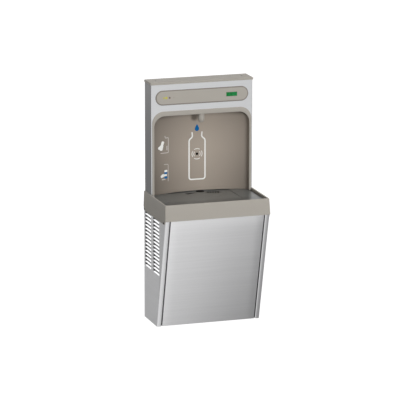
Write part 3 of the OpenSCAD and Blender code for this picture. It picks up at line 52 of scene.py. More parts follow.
toward = np.array([-np.sin(TURN) * np.cos(TILT), -np.cos(TURN) * np.cos(TILT), np.sin(TILT)])
level = np.cross(-toward, [0, 0, 1])
level /= np.linalg.norm(level)
upright = np.cross(toward, level)
across = level * np.cos(ROLL) + upright * np.sin(ROLL)
upward = upright * np.cos(ROLL) - level * np.sin(ROLL)
stand = (AIM_MM + toward * DISTANCE_MM) * MM
camera = bpy.data.objects.new("camera", bpy.data.cameras.new("camera"))
camera.matrix_world = Matrix([[*row, place] for row, place in zip(np.c_[across, upward, toward], stand)]
                             + [[0, 0, 0, 1]])
camera.data.sensor_fit = "HORIZONTAL"
camera.data.sensor_width = SENSOR_MM
camera.data.lens = LENS_PX / IMAGE_PX * SENSOR_MM
camera.data.clip_end = 100
bpy.context.scene.collection.objects.link(camera)
bpy.context.scene.camera = camera
bpy.context.scene.view_settings.view_transform = "Standard"


# The studio: an even dome of light, which the lens and polished metal see as white, a
# broad lamp overhead, a narrower key lamp from the front and a very soft one beside it.
class Wire:
    """The output of a shader node. An expression on wires adds the Math nodes that work it out."""

    def __init__(self, recipe, socket):
        self.recipe = recipe
        self.socket = socket

    def sum_up(self, operation, first, second):
        return self.recipe.node("ShaderNodeMath", {"operation": operation}, {0: first, 1: second})

    def __add__(self, other):
        return self.sum_up("ADD", self, other)

    def __radd__(self, other):
        return self.sum_up("ADD", other, self)

    def __sub__(self, other):
        return self.sum_up("SUBTRACT", self, other)

    def __rsub__(self, other):
        return self.sum_up("SUBTRACT", other, self)

    def __mul__(self, other):
        return self.sum_up("MULTIPLY", self, other)

    def __rmul__(self, other):
        return self.sum_up("MULTIPLY", other, self)

    def __pow__(self, other):
        return self.sum_up("POWER", self, other)

    def __abs__(self):
        return self.recipe.node("ShaderNodeMath", {"operation": "ABSOLUTE"}, {0: self})

    def __gt__(self, other):
        return self.sum_up("GREATER_THAN", self, other)

    def __lt__(self, other):
        return self.sum_up("LESS_THAN", self, other)


class Recipe:
    """The shader nodes of one finish. node() adds a node of a type: its settings first, then what its
    sockets hold or are wired to. It gives the wire of the output that is asked for. A colour ramp's
    setting "stops" is its list of (position, colour)."""

    def __init__(self, tree):
        self.tree = tree
        self.tree.nodes.clear()

    def node(self, kind, settings, sockets, output=0):
        made = self.tree.nodes.new(kind)
        for name, value in settings.items():
            if name == "stops":
                ramp = made.color_ramp.elements
                for position, colour in value:
                    ramp.new(position).color = colour
                ramp.remove(ramp[0])
                ramp.remove(ramp[len(ramp) - 1])
            else:
                setattr(made, name, value)
        for name, value in sockets.items():
            if isinstance(value, Wire):
                self.tree.links.new(value.socket, made.inputs[name])
            else:
                made.inputs[name].default_value = value
        return Wire(self, made.outputs[output]) if made.outputs else None


DOME_LEVEL = 0.30
OVERHEAD_LEVEL = 1.25
KEY_LEVEL = 1.55
FRONT_LEVEL = 0.62

dome = bpy.data.worlds.new("dome")
dome.use_nodes = True
bpy.context.scene.world = dome
sky = Recipe(dome.node_tree)
seen = sky.node("ShaderNodeLightPath", {}, {}, "Is Camera Ray")
mirrored = sky.node("ShaderNodeLightPath", {}, {}, "Is Glossy Ray")
through = sky.node("ShaderNodeLightPath", {}, {}, "Is Transmission Ray")
direct = (seen + mirrored + through) > 0.5
glow = sky.node("ShaderNodeBackground", {}, {
    "Color": (1, 1, 1, 1),
    "Strength": direct * (1 - DOME_LEVEL) + DOME_LEVEL,
})
sky.node("ShaderNodeOutputWorld", {}, {"Surface": glow})


def sun(name, level, softness, aim):
    """A lamp far away that shines along aim. Polished metal doesn't mirror it."""
    lamp = bpy.data.objects.new(name, bpy.data.lights.new(name, "SUN"))
    lamp.data.energy = level
    lamp.data.angle = np.radians(softness)
    lamp.rotation_mode = "QUATERNION"
    lamp.rotation_quaternion = Vector(aim).to_track_quat("-Z", "Y")
    lamp.visible_glossy = False
    bpy.context.scene.collection.objects.link(lamp)


sun("overhead", OVERHEAD_LEVEL, 50, (-0.05, 0.35, -1.0))
sun("key", KEY_LEVEL, 14, (-0.22, 1.0, -0.03))
sun("front", FRONT_LEVEL, 100, (-0.02, 1.0, -0.15))


# The studio floor: a plain pale sheet well below the station, which hangs on its wall.
# Steel mirrors it as lit towards the camera and dim near the wall, by FLOOR_LEVELS of
# (distance in metres, level); a card that only mirrors see stands behind the station.
FLOOR_Z = -0.75
FLOOR_REACH = 45
FLOOR_TONE = 0.5
FLOOR_LIFT = 0.72
FLOOR_SPAN = 10.0
FLOOR_LEVELS = ((-0.5, 0.45), (-0.24, 0.27), (-0.02, 0.22), (0.08, 0.30), (0.19, 0.52), (0.3, 0.72),
                (0.45, 0.87), (0.7, 0.92), (1.5, 0.92), (4.0, 0.98))
CARD_LEVEL = 1.5
CARD_MID = (-1540.0, 3600.0, 1150.0)
CARD_HALF_WIDTH = 1800.0
CARD_HALF_HEIGHT = 800.0


def sheet_faces(rows, columns, around=False):
    """Corner numbers of the quads of a grid of rows x columns points, row after row: each point with the
    next in its row and the two above them. around joins the last column to the first."""
    last = columns if around else columns - 1
    row = np.arange(rows - 1)[:, None] * columns
    here = np.arange(last)[None, :]
    there = (here + 1) % columns
    return np.stack([row + here, row + there, row + columns + there, row + columns + here], -1).reshape(-1, 4)


def build(name, parts, bend=30, thickness=None, closed=True):
    """One mesh from parts, each a list of points in millimetres with its faces. Points that fall together
    are joined; a closed shape has its faces turned outwards; thickness adds a wall inwards; edges that
    turn by more than bend degrees, and free borders, stay sharp. A part's third item is the painted
    shade at each point, from 0 to 1: how far the finish is darkened to stand in for shade."""
    points, faces, start = [], [], 0
    for corners, quads, *_ in parts:
        corners = np.asarray(corners, float).reshape(-1, 3)
        points.append(corners)
        faces += (np.asarray(quads) + start).tolist() if not isinstance(quads, list) else [
            [c + start for c in face] for face in quads]
        start += len(corners)
    mesh = bpy.data.meshes.new(name)
    mesh.from_pydata((np.concatenate(points) * MM).tolist(), [], faces)
    if len(parts[0]) > 2:
        # the third item is kept as a point attribute of painted shade
        mesh.attributes.new("painted_shade", "FLOAT", "POINT").data.foreach_set("value", parts[0][2])
    work = bmesh.new()
    work.from_mesh(mesh)
    bmesh.ops.remove_doubles(work, verts=work.verts, dist=2e-6)
    if closed:
        bmesh.ops.recalc_face_normals(work, faces=work.faces)
    work.to_mesh(mesh)
    work.free()
    mesh.shade_smooth()
    mesh.set_sharp_from_angle(angle=np.radians(bend))
    around_face = np.zeros(len(mesh.loops), int)
    mesh.loops.foreach_get("edge_index", around_face)
    border = np.bincount(around_face, minlength=len(mesh.edges)) == 1
    turns = np.zeros(len(mesh.edges), bool)
    mesh.edges.foreach_get("use_edge_sharp", turns)
    mesh.edges.foreach_set("use_edge_sharp", turns | border)
    made = bpy.data.objects.new(name, mesh)
    bpy.context.scene.collection.objects.link(made)
    if thickness:
        wall = made.modifiers.new("wall", "SOLIDIFY")
        wall.thickness = thickness * MM
        wall.offset = -1
        wall.use_even_offset = True
    return made


def coordinate(recipe, place, axis):
    """One coordinate of a place, X, Y or Z, in metres."""
    return recipe.node("ShaderNodeSeparateXYZ", {}, {"Vector": place}, axis)


corner_signs = np.array([[x, y] for y in (-1, 1) for x in (-1, 1)], float)
floor_corners = np.c_[corner_signs * FLOOR_REACH / MM, np.full(4, FLOOR_Z / MM)]
floor = build("floor", [(floor_corners, sheet_faces(2, 2))], closed=False)
pale = bpy.data.materials.new("pale_floor")
pale.use_nodes = True
ground = Recipe(pale.node_tree)
paint = ground.node("ShaderNodeBsdfDiffuse", {}, {"Color": (*[FLOOR_TONE] * 3, 1)})
seen = ground.node("ShaderNodeLightPath", {}, {}, "Is Camera Ray")
mirrored = ground.node("ShaderNodeLightPath", {}, {}, "Is Glossy Ray")
lift = ground.node("ShaderNodeEmission", {}, {"Color": (1, 1, 1, 1), "Strength": seen * FLOOR_LIFT})
painted = ground.node("ShaderNodeAddShader", {}, {0: paint, 1: lift})
spot = ground.node("ShaderNodeTexCoord", {}, {}, "Object")
distance = -0.85 * coordinate(ground, spot, "X") - 0.53 * coordinate(ground, spot, "Y")
share = ground.node("ShaderNodeMapRange", {}, {0: distance, 1: -FLOOR_SPAN / 2, 2: FLOOR_SPAN / 2})
level = ground.node("ShaderNodeValToRGB", {"stops": [
    ((s + FLOOR_SPAN / 2) / FLOOR_SPAN, (v, v, v, 1)) for s, v in FLOOR_LEVELS]}, {"Fac": share})
mirror_look = ground.node("ShaderNodeEmission", {}, {"Color": level, "Strength": 1.0})
both = ground.node("ShaderNodeMixShader", {}, {0: mirrored, 1: painted, 2: mirror_look})
ground.node("ShaderNodeOutputMaterial", {}, {"Surface": both})
floor.data.materials.append(pale)

card_corners = CARD_MID + np.c_[corner_signs[:, 0] * CARD_HALF_WIDTH, np.zeros(4),
                                corner_signs[:, 1] * CARD_HALF_HEIGHT]
card = build("rear_card", [(card_corners, sheet_faces(2, 2))], closed=False)
card.visible_camera = card.visible_diffuse = card.visible_shadow = card.visible_transmission = False
lit = bpy.data.materials.new("lit_card")
lit.use_nodes = True
glow_card = Recipe(lit.node_tree)
glow_card.node("ShaderNodeOutputMaterial", {}, {"Surface": glow_card.node(
    "ShaderNodeEmission", {}, {"Color": (1, 1, 1, 1), "Strength": CARD_LEVEL})})
card.data.materials.append(lit)


# Zinc-coated sheet: the back sheets, rails, floor plate and brackets that nobody sees.
# Cold-rolled steel with a dull spangled coat, folded and screwed together.
def shade(red, green, blue):
    """A colour as it looks on a screen, from 0 to 255, as the shader wants it."""
    screen = np.array([red, green, blue]) / 255
    plain = np.where(screen > 0.04045, ((screen + 0.055) / 1.055) ** 2.4, screen / 12.92)
    return (*plain.tolist(), 1)


def finish(name):
    """A new empty material, its recipe and the wire of Object coordinates."""
    made = bpy.data.materials.new(name)
    made.use_nodes = True
    recipe = Recipe(made.node_tree)
    return made, recipe, recipe.node("ShaderNodeTexCoord", {}, {}, "Object")


def stretched(recipe, place, scale, detail=2.0, rough=0.5):
    """Noise from 0 to 1 whose grains are drawn out as scale, in grains per metre, says."""
    drawn = recipe.node("ShaderNodeMapping", {}, {"Vector": place, "Scale": scale})
    return recipe.node("ShaderNodeTexNoise", {}, {"Vector": drawn, "Scale": 1.0, "Detail": detail,
                                                  "Roughness": rough})


def blend(recipe, factor, first, second):
    """A colour between two, by factor."""
    return recipe.node("ShaderNodeMix", {"data_type": "RGBA"}, {0: factor, 6: first, 7: second}, 2)


def surface(recipe, sockets):
    """Ends a recipe: the shader with these sockets."""
    shader = recipe.node("ShaderNodeBsdfPrincipled", {}, sockets)
    recipe.node("ShaderNodeOutputMaterial", {}, {"Surface": shader})


def dress(material, *names):
    """Gives CAD nodes a finish."""
    for name in names:
        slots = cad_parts[name].data.materials
        slots.clear()
        slots.append(material)


zinc, recipe, place = finish("zinc_coat")
flake = recipe.node("ShaderNodeTexVoronoi", {"feature": "F1"}, {"Vector": place, "Scale": 90.0}, "Color")
spangle = recipe.node("ShaderNodeSeparateColor", {}, {"Color": flake})
cloud = stretched(recipe, place, (14, 14, 14))
tone = 0.7 * spangle + 0.3 * cloud
surface(recipe, {
    "Base Color": blend(recipe, tone, shade(138, 142, 146), shade(176, 180, 184)),
    "Metallic": 0.85,
    "Roughness": 0.38 + 0.22 * tone,
})
dress(zinc, "filler_back", "base_plate", "cabinet_back", "hanger_rail", "front_rail",
      "fan_bracket", "tank_bracket", "filter_bracket")


# Plain bright hardware: screws, bolts, the hook strip on the wall, the fan's shaft and
# the valve's plunger. Turned or rolled steel, left as it comes.
def mottled(name, scale, dark, light, gloss, spread=0.0, detail=2.0, rough=0.5, metal=0.0, sheen=0.5,
            coat=0.0, bump=None):
    """A finish that follows one noise: its colour goes from dark to light and its roughness from gloss to
    gloss + spread. bump is the strength, and the height in metres, of its relief."""
    made, recipe, place = finish(name)
    grain = stretched(recipe, place, scale, detail, rough)
    sockets = {
        "Base Color": blend(recipe, grain, dark, light),
        "Metallic": metal,
        "Roughness": gloss + spread * grain if spread else gloss,
        "Specular IOR Level": sheen,
        "Coat Weight": coat,
    }
    if bump:
        strength, height = bump
        sockets["Normal"] = recipe.node("ShaderNodeBump", {}, {
            "Strength": strength, "Distance": height, "Height": grain})
    surface(recipe, sockets)
    return made


bright = mottled("bright_steel", (260, 260, 260), shade(168, 168, 170), shade(200, 200, 202), 0.25, 0.2,
                 metal=1.0)
dress(bright, "panel_screws", "compressor_bolts", "valve_plunger", "fan_shaft", "wall_hanger")


# The compressor and the fan's motor: pressed steel shells under a thick black enamel,
# which runs into a slight orange peel as it is stoved.
enamel = mottled("black_enamel", (350, 350, 350), (0.012, 0.012, 0.013, 1), (0.03, 0.03, 0.032, 1),
                 0.22, 0.12, detail=3.0, coat=0.4, bump=(0.25, 0.0002))
dress(enamel, "compressor", "fan_motor")


# Rubber: the feet under the compressor, the drain's gasket and the cord's grommet.
# Moulded black rubber with a greyish bloom, pressed or snapped into its hole.
rubber = mottled("rubber", (180, 180, 180), (0.016, 0.016, 0.017, 1), (0.045, 0.044, 0.043, 1), 0.72, 0.2,
                 detail=4.0)
dress(rubber, "compressor_grommets", "drain_gasket", "cord_grommet")


# The copper side: the condenser's coil, the lines, the drier and the thin capillary.
# Drawn tube, brazed at its joints and tarnished in clouds.
copper = mottled("drawn_copper", (24, 24, 24), shade(150, 88, 60), shade(214, 140, 104), 0.22, 0.3,
                 detail=5.0, rough=0.6, metal=1.0)
dress(copper, "condenser_coil", "discharge_line", "filter_drier", "capillary_tube", "suction_line")


# The condenser's fins and the fan's blade: thin aluminium as it comes from the mill,
# stamped, and slid on the coil's tubes or pushed on the fan's shaft.
alloy = mottled("mill_aluminium", (40, 40, 900), shade(182, 184, 186), shade(214, 216, 218), 0.3, 0.2,
                metal=1.0)
dress(alloy, "condenser_fins", "fan_blade")


# The cold tank's jacket: closed-cell black foam, wrapped round the tank and strapped to
# the back sheet by its bracket.
jacket, recipe, place = finish("foam_jacket")
cells = recipe.node("ShaderNodeTexVoronoi", {"feature": "DISTANCE_TO_EDGE"},
                    {"Vector": place, "Scale": 420.0})
puffs = recipe.node("ShaderNodeBump", {}, {"Strength": 0.5, "Distance": 0.0006, "Height": cells})
surface(recipe, {
    "Base Color": blend(recipe, cells, (0.014, 0.014, 0.015, 1), (0.05, 0.05, 0.052, 1)),
    "Roughness": 0.88,
    "Normal": puffs,
})
dress(jacket, "cold_tank")


# Black mouldings: the compressor's terminal cover, the valve's coil, the control box and
# the sensor's housing, with the blackened screws of the top cover. Spark-eroded grain.
black_case = mottled("black_moulding", (900, 900, 900), (0.016, 0.016, 0.017, 1), (0.034, 0.034, 0.036, 1),
                     0.42, 0.15, detail=3.0, bump=(0.3, 0.0001))
dress(black_case, "terminal_cover", "valve_coil", "control_box", "sensor_housing", "cover_screws")


# The sensor's window and the plug of the bowl's spare hole: dull black plastic that
# gives back almost no light, pushed in from the front.
pitch_black = mottled("dull_black", (700, 700, 700), (0.003, 0.003, 0.003, 1), (0.008, 0.008, 0.008, 1),
                      0.55, 0.1, sheen=0.1)
dress(pitch_black, "sensor_window", "hole_plug")


# The cold control: a cream moulded case that hangs on the front rail, with a shaft to
# the front that sets how cold the water gets.
dial = mottled("control_moulding", (60, 60, 60), shade(196, 192, 176), shade(214, 210, 196), 0.45, 0.1)
dress(dial, "cold_control")


# The valve's body and the cold control's shaft: machined brass with fine turning marks,
# one in the water line above the alcove and the other in the control's case.
brass = mottled("machined_brass", (30, 30, 1200), shade(170, 138, 78), shade(206, 174, 108), 0.25, 0.15,
                metal=1.0)
dress(brass, "valve_body", "control_shaft")


# The water side: white tubes, nuts and the twist-on cartridge under a blue head.
# Moulded or extruded plastic, faintly cloudy, pushed or screwed together.
white_plastic = mottled("white_moulding", (45, 45, 45), shade(214, 214, 208), shade(236, 236, 231),
                        0.36, 0.16, detail=3.0)
dress(white_plastic, "nozzle_nut", "flow_straightener", "outlet_tube", "riser_tube", "drain_nut",
      "waste_tailpiece", "inlet_tube", "feed_tube", "filter_cartridge")

blue_plastic = mottled("blue_moulding", (45, 45, 45), shade(34, 82, 150), shade(48, 98, 168), 0.38, 0.14,
                       detail=3.0)
dress(blue_plastic, "filter_head")


# The cabinet's side panels: one sheet of stainless a side, with two columns of louvers
# pressed inwards and a folded edge that frames the front panel. Satin, not polished.
def streaks(recipe, place, run):
    """The grain of brushed steel, drawn out along run: fine streaks, and their mix with broader ones."""
    along = np.array(run, float)
    fine = stretched(recipe, place, tuple(6 * along + 1400 * (1 - along)), 3.0, 0.6)
    broad = stretched(recipe, place, tuple(2.2 * along + 130 * (1 - along)), 2.0, 0.5)
    return fine, 0.55 * fine + 0.45 * broad


def brushed(name, dark, light, run, gloss, foot_shade=0.0):
    """Satin stainless with its grain along run, mixed into a dark dull shader as painted shade where the
    point attribute of painted shade says so, and, scaled by the argument after gloss, by painted shade
    that darkens it towards the foot."""
    made, recipe, place = finish(name)
    painted_shade = recipe.node("ShaderNodeAttribute", {"attribute_name": "painted_shade"}, {}, "Fac")
    fine, streak = streaks(recipe, place, run)
    scratches = recipe.node("ShaderNodeBump", {}, {"Strength": 0.12, "Distance": 0.00004, "Height": fine})
    rise = coordinate(recipe, place, "Z")
    # a mask for painted shade that grows from the given height down to the foot
    foot_shade_mask = recipe.node("ShaderNodeMapRange", {}, {0: rise, 1: FOOT_SHADE_FROM * MM, 2: 0.0})
    steel = recipe.node("ShaderNodeBsdfPrincipled", {}, {
        "Base Color": blend(recipe, streak, dark, light),
        "Metallic": 1.0,
        "Roughness": gloss - 0.06 + 0.12 * streak,
        "Normal": scratches,
    })
    # the dark dull shader that the painted shade mixes in
    dull = recipe.node("ShaderNodeBsdfPrincipled", {}, {
        "Base Color": shade(38, 38, 38),
        "Roughness": 0.9,
        "Specular IOR Level": 0.1,
    })
    both = recipe.node("ShaderNodeMixShader", {}, {0: painted_shade + foot_shade * foot_shade_mask, 1: steel, 2: dull})
    recipe.node("ShaderNodeOutputMaterial", {}, {"Surface": both})
    return made


def front_y(z):
    """Depth of the cabinet's sloped front at a height: its depth at the foot plus slope times height."""
    return -(FRONT_FOOT + FRONT_SLOPE * z)


FOOT_SHADE_FROM = 460.0
FRONT_FOOT = 178.8
FRONT_SLOPE = 0.25986
HALF_CABINET = 230.2
SIDE_TOP = 491.5
SHEET = 1.2
FOLD_R = 1.8
FOLD_CLEAR = 3
FLANGE = 16.7
FLANGE_RETURN = 12.5
INNER_LAP = 34.7
REAR_FLANGE = 14
FLOOR_FLANGE_Z = 4
FLOOR_FLANGE_SHORT = 14
LOUVER_Z0 = 459.7
LOUVER_STEP = 16.2
LOUVER_ROWS = 15
LOUVER_H = 10
LOUVER_IN = 6.6
LOUVER_LEN = 84
LOUVER_Y = (-16.0, -132.0)
LOUVER_END = 3.5
LOUVER_BEND = 1.1
LOUVER_TOP_SHARE = 0.86
LOUVER_MARGIN = 1.5
CUT_W = 0.2
PLAIN_ROWS = (0, 60, 140, 228)
STRIP_SHARES = np.array([0, 0.3, 0.7, 0.9])
# Painted shade on the side panels, from 0 to 1: on a blade's rows, on the strip above it, at a louver's front
# end, on the last flat column before the fold, round the fold and on the seam beside the front panel.
BLADE_SHADE = (0, 0, 0, 0.3, 0.8, 1, 1)
STRIP_SHADE = (1, 1, 1, 0.5)
FRONT_SHADE = 0.6
BLADE_FADE = 0.15
EDGE_SHADE = 0.1
FOLD_SHADE = 0.26
SEAM_SHADE = 0.85


def quarter(steps):
    """Angles of a quarter turn, from 0 to half of pi."""
    return np.linspace(0, np.pi / 2, steps)


def full_turn(steps):
    """Angles round a whole circle, without the last one, which is the first again."""
    return np.linspace(0, 2 * np.pi, steps, endpoint=False)


def side_panel(side):
    """The outer skin as a grid, with the painted shade of each of its points. Rows climb the panel, seven on
    each blade and four on the strip above it; columns run forwards and then round the folded edge. A blade
    leaves the sheet along height ** LOUVER_BEND, is cut free at its rear end and eased over LOUVER_END
    at its front one by share ** 2 * (3 - 2 * share); the quads over its slot and its cut are left out.
    A blade's upper half and the strip above it get painted shade, the strip less towards the front; the
    last flat column, the fold and the seam beside the front panel get painted shade too."""
    share = np.linspace(0, 1, 6)
    settled = share * share * (3 - 2 * share)
    run = np.concatenate([[-LOUVER_MARGIN, 0, CUT_W], np.linspace(0, LOUVER_LEN - LOUVER_END, 7)[1:],
                          LOUVER_LEN - LOUVER_END * (1 - share[1:]), [LOUVER_LEN + LOUVER_MARGIN]])
    lifted = np.concatenate([[0, 0, 1], np.ones(6), 1 - settled[1:], [0]])
    flat_y = np.concatenate([[0.0], *[start - run for start in LOUVER_Y]])
    on_blade = np.concatenate([[0.0], *[lifted for _ in LOUVER_Y]])
    rise = np.linspace(0, 1, len(BLADE_SHADE))
    foot = LOUVER_Z0 - LOUVER_STEP * np.arange(LOUVER_ROWS)[::-1]
    pitch = np.r_[LOUVER_H * LOUVER_TOP_SHARE * rise, LOUVER_H + (LOUVER_STEP - LOUVER_H) * STRIP_SHARES]
    z = np.concatenate([PLAIN_ROWS, (foot[:, None] + pitch[None, :]).ravel(), [SIDE_TOP]])
    plain = np.zeros(len(PLAIN_ROWS))
    height = np.concatenate([plain, np.tile(np.r_[rise, 0 * STRIP_SHARES], LOUVER_ROWS), [0]])
    shaded = np.concatenate([plain, np.tile(BLADE_SHADE + STRIP_SHADE, LOUVER_ROWS), [0]])
    fading = np.where((run >= 0) & (run < LOUVER_LEN),
                      FRONT_SHADE + (1 - FRONT_SHADE) * (1 - run / LOUVER_LEN) ** 2, 0)
    from_rear = np.concatenate([[0.0], *[fading for _ in LOUVER_Y]])
    depth = LOUVER_IN * height[:, None] ** LOUVER_BEND * on_blade[None, :]
    x_flat = -HALF_CABINET + depth
    squeeze = np.minimum(1, (-front_y(z) - FOLD_R - FOLD_CLEAR) / -flat_y[-1])
    y_flat = flat_y[None, :] * squeeze[:, None]
    turn = quarter(6)
    fold_x = -HALF_CABINET + FOLD_R * (1 - np.cos(turn))
    fold_y = FOLD_R * (1 - np.sin(turn))
    back_x = -HALF_CABINET + FLANGE - FOLD_R * (1 - np.sin(turn))
    back_y = FOLD_R * (1 - np.cos(turn))
    tail_x = np.array([-HALF_CABINET + FLANGE, -HALF_CABINET + INNER_LAP])
    tail_y = np.array([FLANGE_RETURN, FLANGE_RETURN])
    edge_x = np.concatenate([fold_x, back_x, tail_x])
    edge_y = np.concatenate([fold_y, back_y, tail_y])
    x = np.c_[x_flat, np.broadcast_to(edge_x, (len(z), len(edge_x)))]
    y = np.c_[y_flat, front_y(z)[:, None] + edge_y[None, :]]
    points = np.stack([x * -side, y, np.broadcast_to(z[:, None], x.shape)], -1)
    faces = sheet_faces(*x.shape)
    row, column = np.divmod(np.arange(len(faces)), x.shape[1] - 1)
    blade_columns = np.r_[on_blade, np.zeros(len(edge_x))]
    behind, ahead = blade_columns[column], blade_columns[column + 1]
    over_slot = (height[row] == 1) & (np.maximum(behind, ahead) > 0)
    at_cut = (np.maximum(height[row], height[row + 1]) > 0) & (ahead - behind == 1)
    faces = faces[~(over_slot | at_cut)]
    on_fold = np.concatenate([np.linspace(FOLD_SHADE, 0, len(fold_x)), np.zeros(len(back_x)),
                              np.full(len(tail_x), SEAM_SHADE)])
    # painted shade on the blades and strips, and a little on the last flat column
    on_flat = shaded[:, None] * from_rear[None, :] ** np.where(height > 0, BLADE_FADE, 1)[:, None]
    on_flat[:, -1] = EDGE_SHADE
    painted_shade = np.c_[on_flat, np.broadcast_to(on_fold, (len(z), len(edge_x)))]
    return points, faces if side > 0 else faces[:, ::-1], painted_shade.ravel()


def strip(corners, lift):
    """A flat quad given by four corners, with a copy of it moved by lift and four walls between them."""
    corners = np.array(corners, float)
    points = np.concatenate([corners, corners + np.array(lift, float)])
    return points, [[0, 1, 2, 3], [7, 6, 5, 4], [0, 4, 5, 1], [1, 5, 6, 2], [2, 6, 7, 3], [3, 7, 4, 0]]


# The side panels' satin takes the painted shade of their louvers, fold and seam.
satin = brushed("satin_stainless_sides", shade(226, 226, 227), shade(240, 240, 241), (0, 1, 0), 0.30)
for side, name in ((-1, "left_side_panel"), (1, "right_side_panel")):
    skin = build(name + "_sheet", [side_panel(-side)], bend=14, thickness=SHEET, closed=False)
    skin.data.materials.append(satin)
    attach(skin, "station")
    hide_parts(name)
    x0, x1 = side * (HALF_CABINET - SHEET), side * (HALF_CABINET - REAR_FLANGE)
    front, rear = front_y(0) + FLOOR_FLANGE_SHORT, -2 * SHEET
    folds = build(name + "_folds", [
        strip([[x0, -SHEET, 0], [x1, -SHEET, 0], [x1, -SHEET, SIDE_TOP], [x0, -SHEET, SIDE_TOP]],
              [0, -SHEET, 0]),
        strip([[x0, rear, FLOOR_FLANGE_Z], [x1, rear, FLOOR_FLANGE_Z],
               [x1, front, FLOOR_FLANGE_Z], [x0, front, FLOOR_FLANGE_Z]], [0, 0, -SHEET]),
    ])
    folds.data.materials.append(satin)
    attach(folds, "station")


# The front panel: a wide tray of brushed stainless whose grain runs level. It hooks
# under the basin and draws off once two screws in its lower flange are slackened.
PANEL_HALF = 207.5
PANEL_TOP = 488.7
PANEL_RETURN = 11
PANEL_FOLD_R = 1.2
PANEL_FLANGE = 20
PANEL_FLANGE_Z = 2.2
PANEL_FLANGE_HALF = 189.5
NOTCH_X = 120
NOTCH_W = 6.4
NOTCH_D = 11


def front_panel():
    """The tray's outer skin as a grid: columns cross it from the left return's edge, round the fold,
    over the face and back; rows climb the slope and then fold back at the top."""
    turn = quarter(6)
    left_x = np.r_[-PANEL_HALF, -PANEL_HALF + PANEL_FOLD_R * (1 - np.cos(turn))]
    left_y = np.r_[PANEL_RETURN, PANEL_FOLD_R * (1 - np.sin(turn))]
    face_x = np.linspace(-PANEL_HALF + PANEL_FOLD_R, PANEL_HALF - PANEL_FOLD_R, 12)[1:-1]
    x = np.concatenate([left_x, face_x, -left_x[::-1]])
    inset = np.concatenate([left_y, np.zeros_like(face_x), left_y[::-1]])
    climb = np.linspace(0, PANEL_TOP - PANEL_FOLD_R, 9)
    z = np.r_[climb, PANEL_TOP - PANEL_FOLD_R * (1 - np.sin(turn[1:])), PANEL_TOP]
    back = np.r_[np.zeros(len(climb)), PANEL_FOLD_R * (1 - np.cos(turn[1:])), PANEL_RETURN]
    y = front_y(z)[:, None] + np.maximum(inset[None, :], back[:, None])
    points = np.stack([np.broadcast_to(x, y.shape), y, np.broadcast_to(z[:, None], y.shape)], -1)
    return points, sheet_faces(*y.shape)


def slab(outline, z0, z1):
    """A flat plate: this outline in plan at two heights, with walls between them."""
    count = len(outline)
    ends = [np.c_[np.array(outline, float), np.full(count, z)] for z in (z0, z1)]
    sides = sheet_faces(2, count, around=True).tolist()
    return np.concatenate(ends), sides + [list(range(count))[::-1], list(range(count, 2 * count))]


flange_front = front_y(PANEL_FLANGE_Z) + SHEET
flange_rear = front_y(0) + PANEL_FLANGE
notch = ((NOTCH_W / 2, 0), (NOTCH_W / 2, NOTCH_D), (-NOTCH_W / 2, NOTCH_D), (-NOTCH_W / 2, 0))
notches = [[middle + half, flange_rear - depth] for middle in (NOTCH_X, -NOTCH_X) for half, depth in notch]
flange_outline = [[-PANEL_FLANGE_HALF, flange_front], [PANEL_FLANGE_HALF, flange_front],
                  [PANEL_FLANGE_HALF, flange_rear], *notches, [-PANEL_FLANGE_HALF, flange_rear]]
# The front panel's finish is darkened towards its foot: painted shade.
level_grain = brushed("brushed_stainless_front", shade(231, 231, 232), shade(253, 253, 254), (1, 0, 0), 0.34,
                      foot_shade=0.17)
tray = build("front_panel_sheet", [front_panel()], thickness=SHEET, closed=False)
tray.data.materials.append(level_grain)
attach(tray, "access_panel")
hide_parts("front_panel")
lower_flange = build("front_panel_flange", [slab(flange_outline, PANEL_FLANGE_Z, PANEL_FLANGE_Z + SHEET)])
lower_flange.data.materials.append(level_grain)
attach(lower_flange, "access_panel")


# The basin's apron: a flared moulding in warm grey that stands on the side panels. Its
# rim rolls inwards round the bowl, and its sides hang a little lower than its front. A small
# black oval on each of their lower corners is painted shade for the dark corners there.
RIM_Z = 558.5
APRON_Z = 489.5
SKIRT_Z = 474.5
TOP_HALF = 231.8
TOP_FRONT = 303.6
LOW_HALF = 234.65
LOW_FRONT = 311.3
APRON_WALL = 3
RIM_W = 7
RIM_DEPTH = 15
RIM_ROUND = 1.8
CORNER_R = 3.2
SKIRT_REAR = 3
SKIRT_FRONT = 12
SKIRT_R = 10
CORNER_SHADE_Z = 480.5
CORNER_SHADE_Y = (-288.5, -14)
CORNER_SHADE_HALF_LENGTH = 9
CORNER_SHADE_HALF_HEIGHT = 3.7
CORNER_SHADE_T = 0.6
CORNER_SHADE_RISE = 0.15
FOOT_SOFT = 0.7
FLARE_MID_Z = 520
LEDGE_Z = 546
LEDGE_T = 4
LEDGE_IN = 15
FACE_FROM = -89.0
LEDGE_REAR = 220


def eased(recipe, value, start, end):
    """0 up to start and 1 from end on, with an S-shaped change between them."""
    return recipe.node("ShaderNodeMapRange", {"interpolation_type": "SMOOTHSTEP"},
                       {0: value, 1: start, 2: end})


def speckle(recipe, place):
    """The fine spark-eroded grain of a moulding, and its mix with a faint drift of colour."""
    cloud = stretched(recipe, place, (9, 9, 9), 2.0)
    spark = stretched(recipe, place, (1100, 1100, 1100), 3.0, 0.6)
    return spark, 0.6 * cloud + 0.4 * spark


